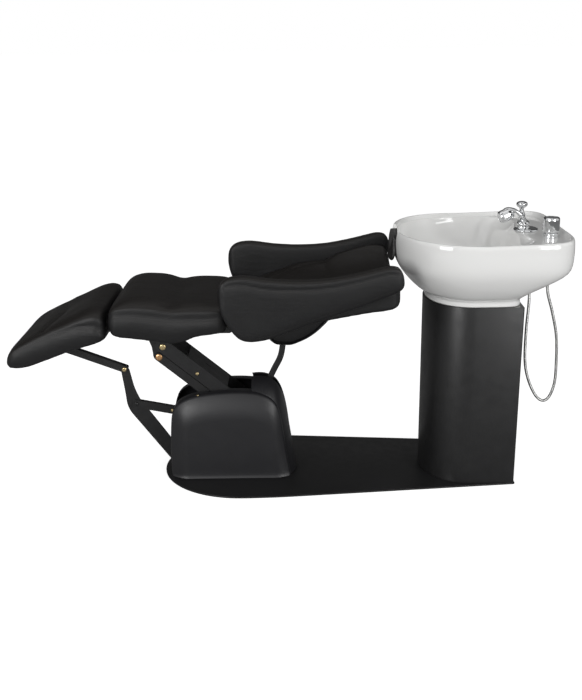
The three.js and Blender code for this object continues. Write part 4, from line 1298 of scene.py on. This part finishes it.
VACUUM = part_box("vacuum_breaker")
VACUUM_AT = ((VACUUM[0].x + VACUUM[1].x) / 2, (VACUUM[0].y + VACUUM[1].y) / 2, 0)
lathe(
    "vacuum_breaker_stem",
    flat_profile(
        mm([[0, 907], [8, 907], [8.5, 918], [7.5, 926], [7.5, 932], [12.5, 936], [13.5, 941], [13, 949],
            [9.5, 955], [7.4, 960], [7.4, 967], [11, 972], [17, 976], [19.4, 980], [19.4, 986],
            [17.5, 989.5], [12, 992.5], [6, 993.7], [0, 994]]), 0.0018, 5,
    ),
    VACUUM_AT, CHROME, "base", ("vacuum_breaker",), segments=64,
)

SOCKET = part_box("handshower_socket")
SOCKET_AT = ((SOCKET[0].x + SOCKET[1].x) / 2, (SOCKET[0].y + SOCKET[1].y) / 2, 0)
lathe(
    "shower_collar",
    flat_profile(
        mm([[13, 860], [16, 860], [16, 897.3], [24.6, 897.3], [25, 899], [25, 911], [23.5, 913.8],
            [13, 914]]),
        0.0007,
    ),
    SOCKET_AT, CHROME, "base", ("handshower_socket",), ring=True,
)
lathe(
    "shower_head",
    flat_profile(
        mm([[0, 790], [7, 790], [9, 800], [12, 812], [12, 914.6], [24.5, 914.6], [27.6, 918.5], [28, 921],
            [28, 957], [27.2, 962.5], [24.4, 965.8], [22.4, 966], [21.2, 963.8], [0, 963.8]]), 0.0012, 5,
    ),
    SOCKET_AT, CHROME, "shower_handset", ("hand_shower",),
)
lathe(
    "shower_face",
    flat_profile(mm([[0, 963.6], [20.6, 963.6], [20.6, 964.6], [19.6, 965.4], [0, 965.6]]), 0.0005),
    SOCKET_AT, GREY_PLASTIC, "shower_handset", (),
)


def corrugated(name, line, radius, body, stands_for, pitch=0.0034):
    """A stainless hose with its rolled ridges, along a smooth line."""
    run = np.linalg.norm(np.diff(line, axis=0), axis=1).sum()
    count = int(run / pitch * 4)
    line = resample(line, count)
    ridge = [radius * (1 - 0.10 * (0.5 - 0.5 * math.cos(2 * math.pi * i / 4))) for i in range(count)]
    return tube(name, line, ridge, STEEL, body, stands_for, 12, 80)


hose_path = np.array(
    [
        [727, -120, 789.5], [728, -120, 745], [733, -119, 698], [754, -115, 630], [776, -110, 540],
        [784, -106, 440],
        [784, -103, 360], [768, -101, 305], [744, -100, 292], [716, -99, 318], [688, -98, 380],
        [674, -97, 450], [672, -95, 560], [678, -84, 660], [682, -50, 730], [680, -14, 768], [679, -8, 787],
    ]
) * MM


HOSE_RADIUS = 0.0054


def spray_hose():
    """Two lengths that meet at the bottom of the loop. One hangs from the hand shower. The other hangs from
    the tap."""
    line = smooth_line(hose_path, 60)
    lowest = int(np.argmin(line[:, 2]))
    corrugated("spray_hose_ridged", line[: lowest + 1], HOSE_RADIUS, "shower_handset", ("spray_hose",))
    tap_length = corrugated("spray_hose_tap_length", line[lowest:], HOSE_RADIUS, "base", ())
    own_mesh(tap_length)


spray_hose()
for side, name in ((-1, "left"), (1, "right")):
    supply_path = np.array(
        [
            [666, 8 * side, 787], [664, 12 * side, 745], [648, 20 * side, 705], [624, 26 * side, 672],
            [608, 34 * side, 600], [600, 60 * side, 420], [600, 72 * side, 200], [600, 74 * side, 60],
        ]
    ) * MM
    node = f"supply_hose_{name}"
    corrugated(f"{node}_ridged", smooth_line(supply_path, 60), 0.0055, "base", (node,))
lathe(
    "drain_flange_turned",
    flat_profile(
        mm([[17, 640], [24, 640], [24, 733], [33, 734.6], [34, 736], [33, 737], [19, 736.2], [17, 731]]),
        0.0006,
    ),
    (*DRAIN, 0), CHROME, "base", ("drain_flange",), ring=True,
)


# ---------------------------------------------------------------- mechanism cover
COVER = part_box("cover_left")
COVER_EDGE = smooth_line(
    mm([[-612, 6.4], [-611.5, 60], [-610, 130], [-606, 200], [-600, 245], [-586, 280], [-560, 303],
        [-520, 319], [-470, 328], [-420, 333], [-370, 335], [-320, 333], [-284, 328], [-252, 316],
        [-228, 296], [-213, 268], [-204, 230], [-196, 170], [-187, 100], [-178, 45], [-171, 6.4]]), 5
)
COVER_PANEL = smooth_line(
    mm([[-545, 6.4], [-544, 60], [-543, 120], [-541, 180], [-536, 204], [-523, 217], [-500, 225],
        [-462, 233], [-418, 237], [-374, 238.5], [-330, 238], [-296, 234], [-268, 225], [-247, 208],
        [-237, 184], [-233, 150], [-231, 100], [-230.5, 50], [-230, 6.4]]), 5
)


def cover_side(name, side, node):
    """One side of the cover: a drawn dish whose shoulders fall away from a flat panel."""
    count = 150
    edge = resample(COVER_EDGE, count)
    panel = resample(COVER_PANEL, count)
    face = abs(COVER[0].y)
    rear = np.clip((edge[:, 0] + 0.30) / 0.12, 0, 1)
    edge_y = 0.074 + 0.010 * rear
    flare = 0.0055

    def spread(z):
        """How far the foot of the dish flares outwards at a height."""
        return flare * math.exp(-max(z - 0.0064, 0) / 0.007)

    def layer(line, ys):
        ring = []
        for (x, z), y in zip(line, ys):
            out = spread(z)
            ring.append((x, side * (y + out * min(1, (y - 0.06) / 0.04)), z))
        return ring

    rings = [layer(edge * [1, 1] - [0, 0], edge_y - 0.020), layer(edge, edge_y - 0.008)]
    rings.append(layer(edge, edge_y - 0.001))
    for t in (0.012, 0.04, 0.09, 0.16, 0.25, 0.35, 0.46, 0.57, 0.68, 0.79, 0.89, 0.96, 0.99, 1.0):
        line = edge * (1 - t) + panel * t
        rise = 1 - (1 - t) ** 1.9
        start = 0.012 * min(1, t / 0.04) ** 0.5
        rings.append(layer(line, edge_y + start + (face - edge_y - start) * rise))
    middle = np.array([-0.388, 0.0064])
    for t in (0.03, 0.15, 0.4, 0.7):
        inner = panel.copy()
        inner = inner * (1 - t) + np.column_stack(
            [panel[:, 0] * 0 + middle[0] + (panel[:, 0] - middle[0]) * 0.2, panel[:, 1]]
        ) * t
        inner[:, 1] = 0.0064 + (panel[:, 1] - 0.0064) * (1 - 0.25 * t)
        rings.append(layer(inner, np.full(count, face)))
    verts = [p for ring in rings for p in ring]
    faces = []
    for row in range(len(rings) - 1):
        for column in range(count - 1):
            first = row * count + column
            faces.append((first, first + 1, first + 1 + count, first + count))
    last = [(len(rings) - 1) * count + i for i in range(count)]
    for i in range(count // 2 - 1):
        a, b = last[i], last[i + 1]
        c, d = last[count - 2 - i], last[count - 1 - i]
        faces.append((a, b, c, d) if b != c else (a, b, d))
    shell = piece(name, verts, faces, COVER_PLASTIC, None, (), 50)
    thick = shell.modifiers.new("wall", "SOLIDIFY")
    thick.thickness = 0.0028
    thick.offset = 1 if side > 0 else -1
    apply_all(shell)
    outward(shell)
    shade(shell, 50)
    finish_piece(shell, "base", (node,))


cover_side("cover_left_shell", -1, "cover_left")
cover_side("cover_right_shell", 1, "cover_right")


def cover_rear():
    """The rear wall and crown between the side shells, crowned across, with the back link's slot."""
    middle = smooth_line(
        mm([[-308, 368], [-285, 370], [-258, 367], [-225, 350], [-205, 318], [-192, 275], [-183, 225],
            [-175, 160], [-166, 100], [-158, 50], [-150, 6.4]]), 6
    )
    outer = smooth_line(
        mm([[-308, 318], [-285, 318], [-262, 315], [-240, 302], [-221, 280], [-209, 247], [-202, 205],
            [-195, 150], [-187, 100], [-178, 50], [-170, 6.4]]), 6
    )
    count = 70
    middle = resample(middle, count)
    outer = resample(outer, count)
    ys = [-0.0865, -0.0855, -0.080, -0.068, -0.052, -0.036, -0.022, -0.0172, 0.0172, 0.022, 0.036,
          0.052, 0.068, 0.080, 0.0855, 0.0865]
    verts = []
    for y in ys:
        share = min(1, abs(y) / 0.0865) ** 2.4
        tuck = 0.006 if abs(y) > 0.086 else 0.0
        for (xa, za), (xb, zb) in zip(middle, outer):
            verts.append((xa * (1 - share) + xb * share - tuck, y, za * (1 - share) + zb * share - tuck))
    faces = []
    for row in range(len(ys) - 1):
        for column in range(count - 1):
            first = row * count + column
            if ys[row] < 0 < ys[row + 1] and verts[first][0] < -0.204:
                continue
            faces.append((first, first + 1, first + 1 + count, first + count))
    shell = piece("cover_rear_shell", verts, faces, COVER_PLASTIC, None, (), 50)
    thick = shell.modifiers.new("wall", "SOLIDIFY")
    thick.thickness = 0.0028
    thick.offset = 1
    apply_all(shell)
    outward(shell)
    shade(shell, 50)
    finish_piece(shell, "base", ("cover_rear",))


cover_rear()
lathe(
    "cover_screw",
    flat_profile(mm([[0, -3], [2.4, -3], [2.4, 0], [4.6, 0], [4.4, 1.4], [2.6, 2.4], [0, 2.6]]), 0.0004),
    (-0.503, -0.086, 0.3245), ZINC, "base", (), (-0.2, -0.45, 0.87), 24,
)

# ---------------------------------------------------------------- backrest shell and its link
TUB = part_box("back_shell")


def back_tub():
    """The glossy moulding under the backrest, open on top, with a slot for the link."""
    bottom = height_curve(
        [[-266, 584], [-258, 560], [-248, 541], [-232, 523], [-208, 513], [-168, 512.6], [-128, 525],
         [-88, 546], [-48, 577], [-14, 616], [0, 634]]
    )
    top = height_curve([[-266, 586], [-150, 609], [0, 636]])
    slot_half = 0.018
    rings = []
    for x in stations(TUB[0].x + 0.001, TUB[1].x - 0.001, 0.02, 0.03, 0.006):
        low, high = float(bottom(x)), float(top(x))
        middle, reach = (TUB[0].x + TUB[1].x) / 2, (TUB[1].x - TUB[0].x) / 2
        along = min(0.999, abs((x - middle) / reach))
        half = 0.040 + (TUB[1].y - 0.044) * (1 - along**3.2) ** (1 / 2.6)
        depth = max(high - low, 0.003)
        bend = min(0.045, depth * 0.9, half - slot_half - 0.004)
        side = [(half, high)]
        for a in np.linspace(0, math.pi / 2, 9):
            side.append((half - bend + bend * math.cos(a), low + bend - bend * math.sin(a)))
        side.append((slot_half, low))
        rings.append([(x, -y, z) for y, z in side] + [(x, y, z) for y, z in side[::-1]])
    count = len(rings[0])
    verts = [p for ring in rings for p in ring]
    faces = []
    for row in range(len(rings) - 1):
        for column in range(count - 1):
            first = row * count + column
            x = verts[first][0]
            if column == count // 2 - 1 and -0.236 < x < -0.142:
                continue
            faces.append((first, first + 1, first + 1 + count, first + count))
    shell = piece("back_tub", verts, faces, GLOSS_PLASTIC, None, (), 60)
    thick = shell.modifiers.new("wall", "SOLIDIFY")
    thick.thickness = 0.0035
    thick.offset = -1
    outward_open(shell)
    apply_all(shell)
    outward(shell)
    shade(shell, 50)
    finish_piece(shell, "backrest", ("back_shell",))


def outward_open(obj):
    """Turns an open shell's faces consistently, away from the object's middle."""
    work = bmesh.new()
    work.from_mesh(obj.data)
    bmesh.ops.recalc_face_normals(work, faces=work.faces)
    centre = sum((v.co for v in work.verts), Vector()) / len(work.verts)
    facing = sum((f.calc_center_median() - centre).dot(f.normal) * f.calc_area() for f in work.faces)
    if facing < 0:
        bmesh.ops.reverse_faces(work, faces=work.faces)
    work.to_mesh(obj.data)
    work.free()


back_tub()


def back_link():
    """The bent flat bar that pushes the backrest up, with rounded ends."""
    line = smooth_line(mm([[-300, 205], [-268, 300], [-228, 386], [-200, 444], [-188, 516]]), 10)
    tangents = np.gradient(line, axis=0)
    tangents /= np.linalg.norm(tangents, axis=1, keepdims=True)
    half, thick = 0.011, 0.005
    stretch = []
    for turn in np.linspace(math.pi / 2, 0.2, 6):
        stretch.append((line[0] - tangents[0] * half * math.sin(turn), tangents[0], half * math.cos(turn)))
    for point, tangent in zip(line, tangents):
        stretch.append((point, tangent, half))
    for turn in np.linspace(0.2, math.pi / 2, 6):
        stretch.append((line[-1] + tangents[-1] * half * math.sin(turn), tangents[-1], half * math.cos(turn)))
    rings = []
    for point, tangent, width in stretch:
        width = max(width, 0.0012)
        normal = np.array([-tangent[1], tangent[0]])
        soft = min(0.0011, width * 0.5)
        ring = []
        for side, turn_from in (((1, 1), 0), ((-1, 1), 90), ((-1, -1), 180), ((1, -1), 270)):
            for a in np.radians(np.linspace(turn_from, turn_from + 90, 4)):
                across = side[0] * (width - soft) + soft * math.cos(a)
                depth = side[1] * (thick - soft) + soft * math.sin(a)
                ring.append((point[0] + normal[0] * across, depth, point[1] + normal[1] * across))
        rings.append(ring)
    verts, faces = skin(rings)
    bar = piece("back_link_bar", verts, faces, STEEL_BLACK, None, (), 40)
    outward(bar)
    finish_piece(bar, "back_link_arm", ("back_link",))


back_link()

# ---------------------------------------------------------------- floor, light and camera
def ray_switch(nodes, links, camera_socket, other_socket, target):
    """Gives camera rays one shader and every other ray another."""
    path = nodes.new("ShaderNodeLightPath")
    mix = nodes.new("ShaderNodeMixShader")
    links.new(path.outputs["Is Camera Ray"], mix.inputs["Fac"])
    links.new(other_socket, mix.inputs[1])
    links.new(camera_socket, mix.inputs[2])
    links.new(mix.outputs[0], target)


def pale_floor():
    """A matt pale floor that burns out to white away from the object's soft shadow."""
    material = bpy.data.materials.new("pale_floor")
    material.use_nodes = True
    nodes, links = material.node_tree.nodes, material.node_tree.links
    nodes.clear()
    matt = nodes.new("ShaderNodeBsdfDiffuse")
    matt.inputs["Color"].default_value = (0.78, 0.78, 0.78, 1)
    dim = nodes.new("ShaderNodeBsdfDiffuse")
    dim.inputs["Color"].default_value = (0.42, 0.42, 0.42, 1)
    glow = nodes.new("ShaderNodeEmission")
    glow.inputs["Strength"].default_value = 0.75
    noise = nodes.new("ShaderNodeTexNoise")
    noise.inputs["Scale"].default_value = 3.0
    tint = nodes.new("ShaderNodeMix")
    tint.data_type = "RGBA"
    tint.inputs[6].default_value = (0.97, 0.97, 0.97, 1)
    tint.inputs[7].default_value = (1, 1, 1, 1)
    links.new(noise.outputs["Fac"], tint.inputs["Factor"])
    links.new(tint.outputs[2], glow.inputs["Color"])
    both = nodes.new("ShaderNodeAddShader")
    links.new(matt.outputs[0], both.inputs[0])
    links.new(glow.outputs[0], both.inputs[1])
    output = nodes.new("ShaderNodeOutputMaterial")
    ray_switch(nodes, links, both.outputs[0], dim.outputs[0], output.inputs["Surface"])
    return material


def stage():
    mesh = bpy.data.meshes.new("floor")
    work = bmesh.new()
    bmesh.ops.create_grid(work, x_segments=2, y_segments=2, size=60)
    work.to_mesh(mesh)
    work.free()
    floor = bpy.data.objects.new("floor", mesh)
    floor.location.z = -0.0005
    bpy.context.scene.collection.objects.link(floor)
    mesh.materials.append(pale_floor())


def studio_world():
    """White behind the object; soft and even for light; light and dark bands for reflections."""
    world = bpy.data.worlds.new("studio")
    world.use_nodes = True
    nodes, links = world.node_tree.nodes, world.node_tree.links
    nodes.clear()
    direction = nodes.new("ShaderNodeTexCoord")
    split = nodes.new("ShaderNodeSeparateXYZ")
    links.new(direction.outputs["Generated"], split.inputs[0])
    turn = nodes.new("ShaderNodeMath")
    turn.operation = "ARCTAN2"
    links.new(split.outputs["X"], turn.inputs[0])
    links.new(split.outputs["Y"], turn.inputs[1])
    share = nodes.new("ShaderNodeMapRange")
    share.inputs["From Min"].default_value = -math.pi
    share.inputs["From Max"].default_value = math.pi
    links.new(turn.outputs[0], share.inputs["Value"])
    bands = nodes.new("ShaderNodeValToRGB")
    ramp = bands.color_ramp
    stops = (
        (0.0, 0.95), (0.055, 0.95), (0.075, 0.05), (0.13, 0.03), (0.15, 0.75), (0.27, 0.9), (0.30, 0.10),
        (0.40, 0.05), (0.43, 0.10), (0.57, 0.12), (0.60, 0.06), (0.68, 0.04), (0.71, 0.8), (0.84, 0.9),
        (0.865, 0.04), (0.925, 0.03), (0.945, 0.95), (1.0, 0.95),
    )
    while len(ramp.elements) < len(stops):
        ramp.elements.new(0.5)
    for element, (place, value) in zip(ramp.elements, stops):
        element.position = place
        element.color = (value, value, value, 1)
    links.new(share.outputs[0], bands.inputs["Fac"])
    path = nodes.new("ShaderNodeLightPath")
    reflected = nodes.new("ShaderNodeBackground")
    reflected.inputs["Strength"].default_value = 0.75
    links.new(bands.outputs["Color"], reflected.inputs["Color"])
    soft = nodes.new("ShaderNodeBackground")
    soft.inputs["Strength"].default_value = 0.36
    white = nodes.new("ShaderNodeBackground")
    white.inputs["Strength"].default_value = 1.0
    for shader in (soft, white):
        shader.inputs["Color"].default_value = (1, 1, 1, 1)
    glossy = nodes.new("ShaderNodeMixShader")
    links.new(path.outputs["Is Glossy Ray"], glossy.inputs["Fac"])
    links.new(soft.outputs[0], glossy.inputs[1])
    links.new(reflected.outputs[0], glossy.inputs[2])
    output = nodes.new("ShaderNodeOutputWorld")
    ray_switch(nodes, links, white.outputs[0], glossy.outputs[0], output.inputs["Surface"])
    bpy.context.scene.world = world


def panel_light(name, place, target, width, height, power, colour=(1, 1, 1)):
    data = bpy.data.lights.new(name, "AREA")
    data.shape = "RECTANGLE"
    data.size, data.size_y = width, height
    data.energy = power
    data.color = colour
    light = bpy.data.objects.new(name, data)
    light.location = place
    aim = Vector(target) - Vector(place)
    light.rotation_euler = aim.to_track_quat("-Z", "Y").to_euler()
    bpy.context.scene.collection.objects.link(light)


def camera():
    """A long lens in front of the unit, a little above it, level to within a degree."""
    azimuth, pitch, roll = math.radians(0.537), math.radians(18.848), math.radians(-0.967)
    data = bpy.data.cameras.new("camera")
    data.lens = 48.99
    data.sensor_width = 36
    view = bpy.data.objects.new("camera", data)
    forward = Vector(
        (-math.sin(azimuth) * math.cos(pitch), math.cos(azimuth) * math.cos(pitch), -math.sin(pitch))
    )
    right = Vector((math.cos(azimuth), math.sin(azimuth), 0))
    up = right.cross(forward)
    turned_right = right * math.cos(roll) + up * math.sin(roll)
    turned_up = up * math.cos(roll) - right * math.sin(roll)
    place = Vector((-0.131, -3.311, 1.594))
    view.matrix_world = Matrix.Translation(place) @ Matrix(
        (turned_right, turned_up, -forward)
    ).transposed().to_4x4()
    bpy.context.scene.collection.objects.link(view)
    bpy.context.scene.camera = view


stage()
studio_world()
panel_light("overhead", (-0.2, 0.3, 3.4), (-0.1, 0, 0.5), 4.4, 2.6, 16)
panel_light("front_left", (-2.4, -3.4, 1.5), (-0.3, 0, 0.5), 1.6, 1.8, 62)
panel_light("front_right", (2.4, -3.2, 1.5), (0.4, 0, 0.6), 1.6, 1.8, 58)
camera()
bpy.context.scene.view_settings.view_transform = "Standard"
